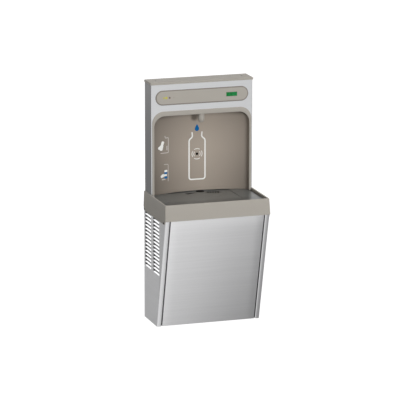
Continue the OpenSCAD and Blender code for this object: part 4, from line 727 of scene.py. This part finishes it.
def moulded(name, colour, drift, rim=None, gloss=0.46, sheen=0.25, sunk=False):
    """Warm grey moulding plastic: a fine spark-eroded grain and a faint drift of colour. With a rim colour
    it is the alcove: painted shade darkens it towards its sides, top and foot, and it takes the rim colour
    in front of FACE_FROM. A sunk one is the bowl: painted shade darkens it towards its front and its sides."""
    made, recipe, place = finish(name)
    spark, mix = speckle(recipe, place)
    grain = recipe.node("ShaderNodeBump", {}, {"Strength": 0.22, "Distance": 0.00008, "Height": spark})
    width, depth, rise = (coordinate(recipe, place, axis) for axis in "XYZ")
    base = np.array(colour[:3])
    shadow = (*(base * 0.35).tolist(), 1)
    tone = blend(recipe, mix, (*(base * (1 - drift)).tolist(), 1), (*(base * (1 + drift)).tolist(), 1))
    if rim:
        # painted shade towards the cheeks, under the ceiling and at the foot
        beside = (abs(width - 0.03) * 4.4) ** 1.35
        top = eased(recipe, rise, 0.868, 0.899)
        foot_shade_mask = eased(recipe, rise, 0.74, 0.56)
        tone = blend(recipe, 0.72 * beside + 0.72 * top + 0.2 * foot_shade_mask, tone, shadow)
        tone = blend(recipe, depth < FACE_FROM * MM, tone, rim)
    if sunk:
        # painted shade behind the front rim and beside the side walls
        front = eased(recipe, depth, -0.185, -0.235)
        sides = eased(recipe, abs(width), 0.196, 0.226)
        tone = blend(recipe, 0.5 * front + 0.4 * sides, tone, shadow)
    surface(recipe, {
        "Base Color": tone,
        "Roughness": gloss + 0.14 * spark,
        "Specular IOR Level": sheen,
        "Normal": grain,
    })
    return made


def apron_ring(inset, z, corner, rear=0.0, steps=9):
    """A level line round the apron, open at the wall: half width and depth grow downwards with the
    flare, inset draws the line inwards, and its two front corners are arcs."""
    share = (RIM_Z - z) / (RIM_Z - APRON_Z)
    half = TOP_HALF + (LOW_HALF - TOP_HALF) * share - inset
    depth = TOP_FRONT + (LOW_FRONT - TOP_FRONT) * share - inset
    r = max(corner - inset, 0.4)
    turn = quarter(steps)
    flank = np.c_[np.full(5, -half), -np.linspace(rear, depth - r, 5)]
    arc = np.c_[-half + r - r * np.cos(turn), -depth + r - r * np.sin(turn)]
    left = np.concatenate([flank[:-1], arc])
    line = np.concatenate([left, left[::-1] * [-1, 1]])
    return np.c_[line, np.full(len(line), z)]


def swept(section, ring):
    """A closed section of (inset, height) pairs carried along ring(inset, height), with its two ends shut."""
    grid = np.array([ring(inset, z) for inset, z in section])
    grid = np.concatenate([grid, grid[:1]])
    rows, columns = grid.shape[:2]
    first = [row * columns for row in range(rows - 1)]
    caps = [first, [corner + columns - 1 for corner in first[::-1]]]
    return grid, sheet_faces(rows, columns).tolist() + caps


def apron_section():
    """The apron's wall: up the outside, over the rolled rim and down inside to the open underside."""
    turn = quarter(5)
    outer = np.c_[RIM_ROUND * (1 - np.cos(turn)), RIM_Z - RIM_ROUND * (1 - np.sin(turn))]
    inner = np.c_[RIM_W - RIM_ROUND * (1 - np.sin(turn)), RIM_Z - RIM_ROUND * (1 - np.cos(turn))]
    foot = [[FOOT_SOFT, APRON_Z], [0, APRON_Z + FOOT_SOFT], [0, FLARE_MID_Z]]
    inside = [[RIM_W, RIM_Z - RIM_DEPTH], [APRON_WALL, RIM_Z - RIM_DEPTH], [APRON_WALL, APRON_Z]]
    return np.concatenate([foot, outer, inner, inside])


def plate_between(outline, outer, inner):
    """A flat plate of an outline of (y, z), between two values of x."""
    count = len(outline)
    walls = [np.c_[np.full(count, x), outline] for x in (outer, inner)]
    return np.concatenate(walls), sheet_faces(2, count, around=True).tolist() + [
        list(range(count)), list(range(count, 2 * count))[::-1]]


def skirt(side):
    """One side's hanging plate: a strip with its two lower corners rounded."""
    turn = quarter(8)
    front = -(LOW_FRONT - SKIRT_FRONT)
    rear = -SKIRT_REAR
    corner_rear = np.c_[rear - SKIRT_R + SKIRT_R * np.cos(turn), SKIRT_Z + SKIRT_R - SKIRT_R * np.sin(turn)]
    corner_front = np.c_[front + SKIRT_R - SKIRT_R * np.sin(turn), SKIRT_Z + SKIRT_R - SKIRT_R * np.cos(turn)]
    outline = np.concatenate([[[rear, APRON_Z + 1]], corner_rear, corner_front, [[front, APRON_Z + 1]]])
    return plate_between(outline, side * (LOW_HALF - CORNER_SHADE_RISE), side * (LOW_HALF - APRON_WALL))


def corner_shade_oval(side, y):
    """A small black oval on a hanging plate's lower corner, painted shade that stands proud of it by the
    oval's rise.
    """
    turn = full_turn(28)
    oval = np.c_[y - CORNER_SHADE_HALF_LENGTH * np.cos(turn), CORNER_SHADE_Z + CORNER_SHADE_HALF_HEIGHT * np.sin(turn)]
    return plate_between(oval, side * LOW_HALF, side * (LOW_HALF - CORNER_SHADE_T))


ledge = [[APRON_WALL, LEDGE_Z - LEDGE_T], [APRON_WALL, LEDGE_Z],
         [LEDGE_IN, LEDGE_Z], [LEDGE_IN, LEDGE_Z - LEDGE_T]]
warm_grey = moulded("warm_grey_moulding", shade(166, 161, 153), 0.03)
apron = build("basin_apron_moulding", [
    swept(apron_section(), lambda inset, z: apron_ring(inset, z, CORNER_R)),
    swept(ledge, lambda inset, z: apron_ring(inset, z, CORNER_R, rear=LEDGE_REAR)),
    skirt(-1), skirt(1)])
apron.data.materials.append(warm_grey)
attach(apron, "station")
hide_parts("basin_apron")
# black ovals at the skirts' lower corners: painted shade
corner_shades = build("skirt_corner_shades", [corner_shade_oval(side, y) for side in (-1, 1) for y in CORNER_SHADE_Y])
corner_shades.data.materials.append(pitch_black)
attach(corner_shades, "station")


# The bowl: a darker grey moulding in five shallow facets that fall to the drain, with a
# sunk steel strainer and a spare round hole that carries a black plug. The moulding carries
# painted shade behind its front rim and beside its side walls. Thin black coats on the drain's
# slots, the plug's face, the groove beside it and the gaps at the bowl's sides are painted shade.
PLATE_Z = 542.9
STRAINER_X = 55.0
STRAINER_Y = -72.0
STRAINER_TOP = 544.2
SLOT_TURN = -16.0
SLOT_STEP = 10.8
SLOT_ASIDE = 13.9
SLOT_HALVES = (4.2, 10)
PLUG_PLACE = (10, -34, 546.4)
PLUG_HALVES = (18.5, 19.5)
GROOVE_PLAN = [[-67, -58], [-59.5, -76], [-6, -48]]
GROOVE_FLOOR = (544.7, 545.2)
SIDE_GAP_X = (214, 228)
SIDE_GAP_Y = (-220, -60)
SIDE_GAP_Z = (539, 540)

bowl_grey = moulded("bowl_moulding", shade(100, 101, 99), 0.08, gloss=0.22, sheen=0.5, sunk=True)
dress(bowl_grey, "basin_bowl")
strainer, recipe, place = finish("strainer_steel")
drawn = stretched(recipe, place, (300, 300, 300))
# Below the plate the strainer is painted near black: painted shade inside the drain's barrel.
above_plate = coordinate(recipe, place, "Z") > PLATE_Z * MM
plate_tone = blend(recipe, drawn, shade(112, 112, 110), shade(134, 134, 131))
surface(recipe, {
    "Base Color": blend(recipe, above_plate, shade(14, 14, 14), plate_tone),
    "Metallic": 0.6 * above_plate,
    "Roughness": 0.38 + 0.14 * drawn,
})
dress(strainer, "drain_strainer")


def flat_oval(x, y, z, a, b, degrees=0, steps=28):
    """A thin oval coat that lies level at height z, a by b, turned by degrees."""
    turn = full_turn(steps)
    c, d = np.cos(np.radians(degrees)), np.sin(np.radians(degrees))
    u, v = a * np.cos(turn), b * np.sin(turn)
    plan = np.c_[x + u * c - v * d, y + u * d + v * c]
    grid = np.stack([np.c_[plan, np.full(steps, z)], np.c_[plan, np.full(steps, z + 0.1)],
                     np.tile([x, y, z + 0.1], (steps, 1))])
    return grid, sheet_faces(3, steps, around=True)


# black coats of painted shade in the drain's slots, on the plug, in the groove and in the side gaps
row = np.array([np.cos(np.radians(SLOT_TURN)), np.sin(np.radians(SLOT_TURN))])
slots = []
for step in range(-2, 3):
    x, y = [STRAINER_X, STRAINER_Y] + row * (2 + SLOT_STEP * step) + row[::-1] * [-SLOT_ASIDE, SLOT_ASIDE]
    slots.append(flat_oval(x, y, STRAINER_TOP, *SLOT_HALVES, SLOT_TURN))
slots.append(flat_oval(*PLUG_PLACE, *PLUG_HALVES))
slots.append(slab(GROOVE_PLAN, *GROOVE_FLOOR))
for side in (-1, 1):
    x0, x1 = sorted(side * x for x in SIDE_GAP_X)
    y0, y1 = SIDE_GAP_Y
    slots.append(slab([[x0, y0], [x1, y0], [x1, y1], [x0, y1]], *SIDE_GAP_Z))
mouths = build("dark_drain_mouths", slots)
mouths.data.materials.append(pitch_black)
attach(mouths, "station")


# The filler's casing: a stainless wrapper folded round the back plate, bright satin on its
# front and of a much darker tone on its two sides, under a moulded cover held by two sunk screws.
SIDE_FROM = 226.2

wrapper, recipe, place = finish("filler_stainless")
fine, streak = streaks(recipe, place, (1, 0, 0))
on_side = abs(coordinate(recipe, place, "X")) > SIDE_FROM * MM
front_tone = blend(recipe, streak, shade(216, 217, 218), shade(230, 231, 233))
side_tone = blend(recipe, streak, shade(112, 112, 113), shade(126, 126, 127))
surface(recipe, {
    "Base Color": blend(recipe, on_side, front_tone, side_tone),
    "Metallic": 1.0,
    "Roughness": 0.36 + 0.12 * streak,
})
dress(wrapper, "filler_wrapper")
dress(warm_grey, "top_cover")


# The visor: a long moulded pill across the front, with a green counter display and four
# small lamps. Nothing is printed on it.
VISOR_Z = 976.5
VISOR_RUN = 175.5
VISOR_R = 32.0
GROOVE_W = 6.5
WINDOW_X = 132.6
WINDOW_W = 48.7
WINDOW_H = 17.8
WINDOW_FACE = -91.8
DIGITS = "01840"
DIGIT_W = 4.6
DIGIT_H = 9.5
DIGIT_STEP = 8.4
DIGIT_LINE = 1.3
BORDER_LINE = 1.2
SEGMENTS = {"0": "abcdef", "1": "bc", "4": "bcfg", "8": "abcdefg"}

visor_grey, recipe, place = finish("visor_moulding")
beyond = recipe.node("ShaderNodeMath", {"operation": "MAXIMUM"}, {
    0: abs(coordinate(recipe, place, "X")) - VISOR_RUN * MM, 1: 0.0})
rise = coordinate(recipe, place, "Z") - VISOR_Z * MM
reach = (beyond * beyond + rise * rise) ** 0.5
groove = eased(recipe, reach, (VISOR_R - GROOVE_W) * MM, (VISOR_R - GROOVE_W / 3) * MM)
spark, mix = speckle(recipe, place)
sunk = recipe.node("ShaderNodeBump", {}, {"Strength": 0.6, "Distance": 0.0012,
                                          "Height": 1.0 - groove + 0.06 * spark})
tone = blend(recipe, mix, shade(165, 160, 152), shade(173, 168, 160))
surface(recipe, {
    # the band over the groove round the visor's edge is painted darker: painted shade on top of the bump
    "Base Color": blend(recipe, groove, tone, shade(128, 122, 115)),
    "Roughness": 0.46 + 0.14 * spark,
    "Specular IOR Level": 0.25,
    "Normal": sunk,
})
dress(visor_grey, "visor_panel")
window, recipe, place = finish("green_display")
cells = stretched(recipe, place, (500, 500, 500))
share = recipe.node("ShaderNodeMapRange", {}, {
    0: coordinate(recipe, place, "X"), 1: (WINDOW_X - WINDOW_W / 2) * MM, 2: (WINDOW_X + WINDOW_W / 2) * MM})
surface(recipe, {
    "Base Color": blend(recipe, 0.8 * share + 0.2 * cells, shade(10, 122, 52), shade(38, 146, 80)),
    "Roughness": 0.3,
    "Specular IOR Level": 0.2,
})
dress(window, "display_window")


def bar(x0, z0, x1, z1, y, line):
    """A thin flat stroke on an upright face at depth y, between two points."""
    start, end = np.array([x0, z0]), np.array([x1, z1])
    run = (end - start) / np.linalg.norm(end - start)
    side = np.array([-run[1], run[0]]) * line / 2
    plan = np.array([start - side, end - side, end + side, start + side])
    points = np.concatenate([np.c_[plan[:, 0], np.full(4, depth), plan[:, 1]] for depth in (y, y - 0.08)])
    return points, sheet_faces(2, 4, around=True).tolist() + [[3, 2, 1, 0], [4, 5, 6, 7]]


def digit(name, x, z):
    """The lit strokes of one seven-segment numeral whose middle is at (x, z)."""
    w, h = DIGIT_W / 2, DIGIT_H / 2
    ends = {"a": (-w, h, w, h), "b": (w, h, w, 0), "c": (w, 0, w, -h), "d": (-w, -h, w, -h),
            "e": (-w, 0, -w, -h), "f": (-w, h, -w, 0), "g": (-w, 0, w, 0)}
    return [bar(x + ends[s][0], z + ends[s][1], x + ends[s][2], z + ends[s][3], WINDOW_FACE, DIGIT_LINE)
            for s in SEGMENTS[name]]


strokes = []
for place_number, numeral in enumerate(DIGITS):
    strokes += digit(numeral, WINDOW_X + (place_number - (len(DIGITS) - 1) / 2) * DIGIT_STEP, VISOR_Z)
half_w, half_h = (WINDOW_W - BORDER_LINE) / 2, (WINDOW_H - BORDER_LINE) / 2
x0, x1, z0, z1 = WINDOW_X - half_w, WINDOW_X + half_w, VISOR_Z - half_h, VISOR_Z + half_h
border = [bar(*ends, WINDOW_FACE, BORDER_LINE) for ends in (
    (x0, z0, x1, z0), (x0, z1, x1, z1), (x0, z0, x0, z1), (x1, z0, x1, z1))]
segment_ink = mottled("display_segments", (800, 800, 800), shade(6, 62, 28), shade(12, 76, 36), 0.4,
                      sheen=0.2)
readout = build("display_digits", strokes + border)
readout.data.materials.append(segment_ink)
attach(readout, "station")
board, recipe, place = finish("circuit_board")
tracks = recipe.node("ShaderNodeTexVoronoi", {"feature": "DISTANCE_TO_EDGE"},
                     {"Vector": place, "Scale": 300.0})
surface(recipe, {
    "Base Color": blend(recipe, tracks, shade(60, 120, 70), shade(20, 76, 40)),
    "Roughness": 0.35,
})
dress(board, "display_board")

LAMP_SPLITS = (-0.165, -0.1525, -0.1357)
LAMP_COLOURS = (shade(176, 172, 110), shade(226, 214, 96), shade(98, 84, 84), shade(166, 160, 152))
HALO_FACE = -92.6
HALOS = ((-159.8, 5.4), (-170.3, 3.6), (-145.2, 4.6))
lenses, recipe, place = finish("lamp_lenses")
width = coordinate(recipe, place, "X")
colour = LAMP_COLOURS[0]
for split, following in zip(LAMP_SPLITS, LAMP_COLOURS[1:]):
    colour = blend(recipe, width > split, colour, following)
lens_grain = stretched(recipe, place, (900, 900, 900))
surface(recipe, {"Base Color": colour, "Roughness": 0.16 + 0.1 * lens_grain, "Coat Weight": 0.3})
dress(lenses, "indicator_lenses")


def disc(x, z, r, y, steps=32):
    """A thin round coat on an upright face at depth y."""
    turn = full_turn(steps)
    circle = np.c_[x + r * np.cos(turn), z + r * np.sin(turn)]
    grid = np.stack([np.c_[circle[:, 0], np.full(steps, y), circle[:, 1]],
                     np.c_[circle[:, 0], np.full(steps, y - 0.06), circle[:, 1]],
                     np.tile([x, y - 0.06, z], (steps, 1))])
    return grid, sheet_faces(3, steps, around=True)


# Discs round three lamps, yellow round the two yellow lamps and brown round the third: painted glow that
# spreads each lamp's colour onto the visor.
halo_glow, recipe, place = finish("lamp_halos")
thin = stretched(recipe, place, (700, 700, 700))
yellow = blend(recipe, thin, shade(176, 172, 70), shade(196, 190, 84))
brown = blend(recipe, thin, shade(122, 108, 104), shade(132, 118, 112))
surface(recipe, {
    "Base Color": blend(recipe, coordinate(recipe, place, "X") > LAMP_SPLITS[1], yellow, brown),
    "Roughness": 0.5,
    "Specular IOR Level": 0.2,
})
halos = build("lamp_halos", [disc(x, VISOR_Z, r, HALO_FACE) for x, r in HALOS])
halos.data.materials.append(halo_glow)
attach(halos, "station")


# The alcove liner: one large moulding, a shallow concave back wall under a flat ceiling,
# with a rounded rim that laps over the stainless front.
Z_ALCOVE = 897.0
HALF_ALCOVE = 213.0
CEILING_R = 47.0
WALL_R = 520.0
WALL_Y = -21.0
WALL_CORNER_R = 24.0
RIM_FACE_Y = -91.8
FRONT_Y = -90.0
RIM_HALF = 222.5
RIM_TOP = 918.0
RIM_R = 52.0
FOOT_Z = 549.5
LIP_Z = 556.0
LIP_PROUD = 1.6
LIP_SHORT = 9
RIM_PROUD = 1.8
RIM_SOFT = 1.2
SOFT_R = 2.4
CREASE_R = 5.0
FLANK_POINTS = 12
LEVEL_POINTS = 24


def wall_y(x):
    """Depth of the alcove's back at x: a wide arc, and nearer the cheeks a small one that blends into it."""
    x = np.abs(x)
    centre_y = WALL_Y - WALL_R
    small_x = HALF_ALCOVE - WALL_CORNER_R
    small_y = centre_y + np.sqrt((WALL_R - WALL_CORNER_R) ** 2 - small_x ** 2)
    meet = small_x * WALL_R / (WALL_R - WALL_CORNER_R)
    wide = centre_y + np.sqrt(WALL_R ** 2 - np.minimum(x, meet) ** 2)
    near = small_y + np.sqrt(np.clip(WALL_CORNER_R ** 2 - (x - small_x) ** 2, 0, None))
    return np.where(x < meet, wide, near)


def arch(half, top, r, inset=0.0):
    """Points up the left side of an arch, round its corner, along its top and down again, drawn in by
    inset. Point counts don't depend on the sizes, so that arches can be joined point by point."""
    turn = quarter(15)
    r_in = r - inset
    left = np.c_[np.full(FLANK_POINTS, -half + inset), np.linspace(FOOT_Z, top - r, FLANK_POINTS + 1)[:-1]]
    corner = np.c_[-half + r - r_in * np.cos(turn), top - r + r_in * np.sin(turn)]
    along = np.linspace(-half + r, half - r, LEVEL_POINTS + 2)[1:-1]
    level = np.c_[along, np.full(LEVEL_POINTS, top - inset)]
    rising = np.concatenate([left, corner])
    return np.concatenate([rising, level, rising[::-1] * [-1, 1]])


def liner_shell():
    """The visible skin, ring by ring: the rim's outer edge, its rounded face, the ceiling and cheeks, a
    small fillet, and then the back wall, which closes to the column of points under each ring point."""
    turn = quarter(5)
    rings = [(RIM_HALF, RIM_TOP, RIM_R, 0.0, FRONT_Y)]
    rings += [(RIM_HALF, RIM_TOP, RIM_R, RIM_SOFT * (1 - np.cos(a)), FRONT_Y - RIM_PROUD * np.sin(a))
              for a in turn]
    grid = [np.insert(arch(half, top, r, inset), 1, y, axis=1) for half, top, r, inset, y in rings]
    grid += [np.insert(arch(HALF_ALCOVE, Z_ALCOVE, CEILING_R, -SOFT_R * (1 - np.sin(a))), 1,
                       RIM_FACE_Y + SOFT_R * (1 - np.cos(a)), axis=1) for a in turn]
    for a in turn:
        line = arch(HALF_ALCOVE, Z_ALCOVE, CEILING_R, CREASE_R * (1 - np.cos(a)))
        grid.append(np.insert(line, 1, wall_y(line[:, 0]) - CREASE_R * (1 - np.sin(a)), axis=1))
    return np.array(grid)


def back_wall():
    """The back as a grid of columns: each climbs from the foot to the arch above it."""
    line = arch(HALF_ALCOVE, Z_ALCOVE, CEILING_R, CREASE_R)
    top = line[FLANK_POINTS:-FLANK_POINTS]
    side_z = line[:FLANK_POINTS + 1, 1]
    share = (side_z - side_z[0]) / (side_z[-1] - side_z[0])
    z = FOOT_Z + (top[:, 1][None, :] - FOOT_Z) * share[:, None]
    x = np.broadcast_to(top[:, 0], z.shape)
    return np.stack([x, wall_y(x), z], -1)


def foot_lip():
    """The thin proud line along the liner's foot: a rounded bead that follows the back wall."""
    x = np.linspace(-HALF_ALCOVE + LIP_SHORT, HALF_ALCOVE - LIP_SHORT, 61)
    bead = np.array([[0, FOOT_Z], [0, LIP_Z], [-0.6, LIP_Z - 0.1], [-1.3, LIP_Z - 0.7],
                     [-LIP_PROUD, LIP_Z - 1.5], [-LIP_PROUD, FOOT_Z]])
    grid = np.stack([np.stack([x, wall_y(x) + y, np.full_like(x, z)], -1) for y, z in bead])
    return grid, sheet_faces(*grid.shape[:2])


shell = liner_shell()
wall = back_wall()
liner = build("alcove_liner_moulding", [
    (shell, sheet_faces(*shell.shape[:2])[:, ::-1]),
    (wall, sheet_faces(*wall.shape[:2])),
    foot_lip()], bend=35, closed=False)
# The alcove's moulding is darkened towards its cheeks, ceiling and foot as painted shade.
alcove_grey = moulded("alcove_moulding", shade(172, 161, 149), 0.03, rim=shade(166, 161, 153))
liner.data.materials.append(alcove_grey)
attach(liner, "station")
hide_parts("alcove_liner")


# The prints on the back wall: a bottle outline, rings round the sensor, a drop and two
# small how-to-fill signs at the left. Thin coats of white and blue ink.
INK_T = 0.12
INK_FROM = 0.02
LINE_W = 6.0


def on_wall(outline, lift):
    """Puts flat (x, z) points on the curved back wall, lifted towards the front."""
    return np.stack([outline[..., 0], wall_y(outline[..., 0]) - lift, outline[..., 1]], -1)


def stroke(path, width, closed=False):
    """A band of even width along a path of (x, z) points, as a thin closed coat on the wall."""
    path = np.array(path, float)
    if closed:
        ahead, behind = np.roll(path, -1, 0), np.roll(path, 1, 0)
    else:
        ahead = np.concatenate([path[1:], 2 * path[-1:] - path[-2:-1]])
        behind = np.concatenate([2 * path[:1] - path[1:2], path[:-1]])
    run = ahead - behind
    run /= np.linalg.norm(run, axis=1)[:, None]
    side = np.c_[-run[:, 1], run[:, 0]] * width / 2
    grid = np.stack([on_wall(path - side, INK_FROM), on_wall(path - side, INK_T), on_wall(path, INK_T),
                     on_wall(path + side, INK_T), on_wall(path + side, INK_FROM)])
    return grid, sheet_faces(len(grid), len(path), around=closed)


def blot(outline):
    """A filled shape: rings that shrink towards the middle of a closed (x, z) outline."""
    outline = np.array(outline, float)
    middle = outline.mean(0)
    grid = np.stack([on_wall(outline, INK_FROM)] + [
        on_wall(middle + (outline - middle) * share, INK_T) for share in (1, 0.66, 0.33, 0.0)])
    return grid, sheet_faces(len(grid), len(outline), around=True)


def rounded(corners, radii, steps=7):
    """A path through corners, each cut by an arc-like curve (a quadratic between the two tangent points)."""
    corners = np.array(corners, float)
    line = [corners[:1]]
    for before, here, after, r in zip(corners[:-2], corners[1:-1], corners[2:], radii):
        start = here + (before - here) / np.linalg.norm(before - here) * r
        end = here + (after - here) / np.linalg.norm(after - here) * r
        t = np.linspace(0, 1, steps)[:, None]
        line.append((1 - t) ** 2 * start + 2 * t * (1 - t) * here + t ** 2 * end)
    line.append(corners[-1:])
    return np.concatenate(line)


def ring(x, z, r, start, end, steps=24):
    """An arc of a circle, from one angle to another, in degrees."""
    turn = np.radians(np.linspace(start, end, steps))
    return np.c_[x + r * np.cos(turn), z + r * np.sin(turn)]


def drop(x, z, w, h, steps=40):
    """A teardrop: width follows sin(t) * sin(t/2) ** 1.4 and height cos(t)."""
    turn = full_turn(steps)
    return np.c_[x + w * 0.64 * np.sin(turn) * np.abs(np.sin(turn / 2)) ** 1.4, z + h / 2 * np.cos(turn)]


BOTTLE_HALF = 36.0
NECK_HALF = 21.5
BOTTLE_FOOT = 598.0
SENSOR_Z = 709.5
DROP_Z = 825.0
half_bottle = [[-NECK_HALF - 1, 806], [-NECK_HALF + 1, 784], [-BOTTLE_HALF, 773],
               [-BOTTLE_HALF, BOTTLE_FOOT], [0, BOTTLE_FOOT]]
other_half = [[-x, z] for x, z in half_bottle[-2::-1]]
bottle = rounded(half_bottle + other_half, [8, 8, 12, 0.01, 12, 8, 8])
rings = [stroke(ring(0, SENSOR_Z, 22.8, a, a + 66), 2.8) for a in (-33, 57, 147, 237)]
rings += [stroke(ring(0, SENSOR_Z, 14.5, a, a + 84), 2.6) for a in (-42, 138)]

# the upper sign shows a tipped flask beside a bracket, the lower one a beaker with blue water
bracket_high = stroke(rounded([[-152, 802], [-148.5, 792], [-134.5, 793], [-134.5, 727], [-173, 728]],
                              [2, 4, 5]), 3.4)
bracket_low = stroke(rounded([[-156, 677], [-135.5, 677], [-135.5, 602]], [5]), 2.6)


def turned(outline, x, z, degrees):
    """Turns an outline about its own origin and sets it at a place on the wall."""
    a = np.radians(degrees)
    outline = np.array(outline, float)
    return outline @ np.array([[np.cos(a), np.sin(a)], [-np.sin(a), np.cos(a)]]) + [x, z]


def plate(x, z, w, h, r, degrees=0):
    """A filled rectangle with soft corners, turned about its middle."""
    w, h = w / 2, h / 2
    line = rounded([[0, h], [w, h], [w, -h], [-w, -h], [-w, h], [-0.1, h]], [r, r, r, r])
    return blot(turned(line, x, z, degrees))


flask = [plate(-163, 771, 13, 17, 4, -20), plate(-168.5, 752, 15, 25, 5, -14)]
palm = [blot(ring(-179, 751.5, 6.6, 0, 345)), plate(-173, 758, 9, 9, 3, 30)]
beaker = [plate(-147, 648, 14.5, 9, 3), plate(-148.5, 630, 12.5, 8, 1.5)]
cup = [plate(-161, 629, 14, 13, 4), blot(ring(-167, 626, 6, 0, 345))]
water_bands = [plate(-147, 639, 14.5, 8.4, 1.5), plate(-147, 619.5, 14.5, 8.4, 2)]
grey_hand = [plate(-141.5, 748, 5, 20, 2), plate(-158, 612, 18, 5, 2)]

white_ink = mottled("white_ink", (350, 350, 350), shade(232, 232, 228), shade(244, 244, 241), 0.5, sheen=0.2)
blue_ink = mottled("blue_ink", (350, 350, 350), shade(0, 92, 152), shade(4, 104, 168), 0.42, sheen=0.2)
grey_ink = mottled("grey_ink", (350, 350, 350), shade(186, 180, 174), shade(196, 190, 184), 0.5, sheen=0.2)
for name, coats, ink in (
        ("bottle_print", [stroke(bottle, LINE_W)], white_ink), ("sensor_rings", rings, white_ink),
        ("sign_brackets", [bracket_high, bracket_low], grey_ink), ("flask_sign", flask + palm, white_ink),
        ("beaker_sign", beaker + cup, white_ink), ("water_bands", water_bands, blue_ink),
        ("sign_shadows", grey_hand, grey_ink), ("drop_print", [blot(drop(0, DROP_Z, 21, 31))], blue_ink)):
    coat = build(name, coats, bend=60)
    coat.data.materials.append(ink)
    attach(coat, "station")


# The nozzle: a short round spout moulded in the same warm grey, with a coned mouth. Its
# neck passes up through the ceiling and takes the nut.
NOZZLE_Y = -75.6
NOZZLE_Z = 860.0
NOZZLE_PROFILE = [[7.3, 8], [7.3, 0.5], [7.8, 0], [9.0, 0], [9.6, 0.3], [10.4, 2.2], [11.8, 5.4],
                  [13.4, 8.8], [14.2, 10.6], [14.5, 12], [14.5, 36.6], [14.2, 37], [9, 37], [9, 59],
                  [6, 59], [6, 8], [7.3, 8]]


def lathe(profile, x, y, z, steps=64):
    """A profile of (radius, height) pairs turned about an upright axis."""
    profile = np.array(profile, float)
    turn = full_turn(steps)
    r = profile[:, 0][:, None]
    grid = np.stack([x + r * np.cos(turn), y + r * np.sin(turn),
                     np.broadcast_to(z + profile[:, 1][:, None], (len(profile), steps))], -1)
    return grid, sheet_faces(len(profile), steps, around=True)


spout = build("nozzle_moulding", [lathe(NOZZLE_PROFILE, 0, NOZZLE_Y, NOZZLE_Z)])
spout.data.materials.append(warm_grey)
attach(spout, "station")
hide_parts("nozzle")
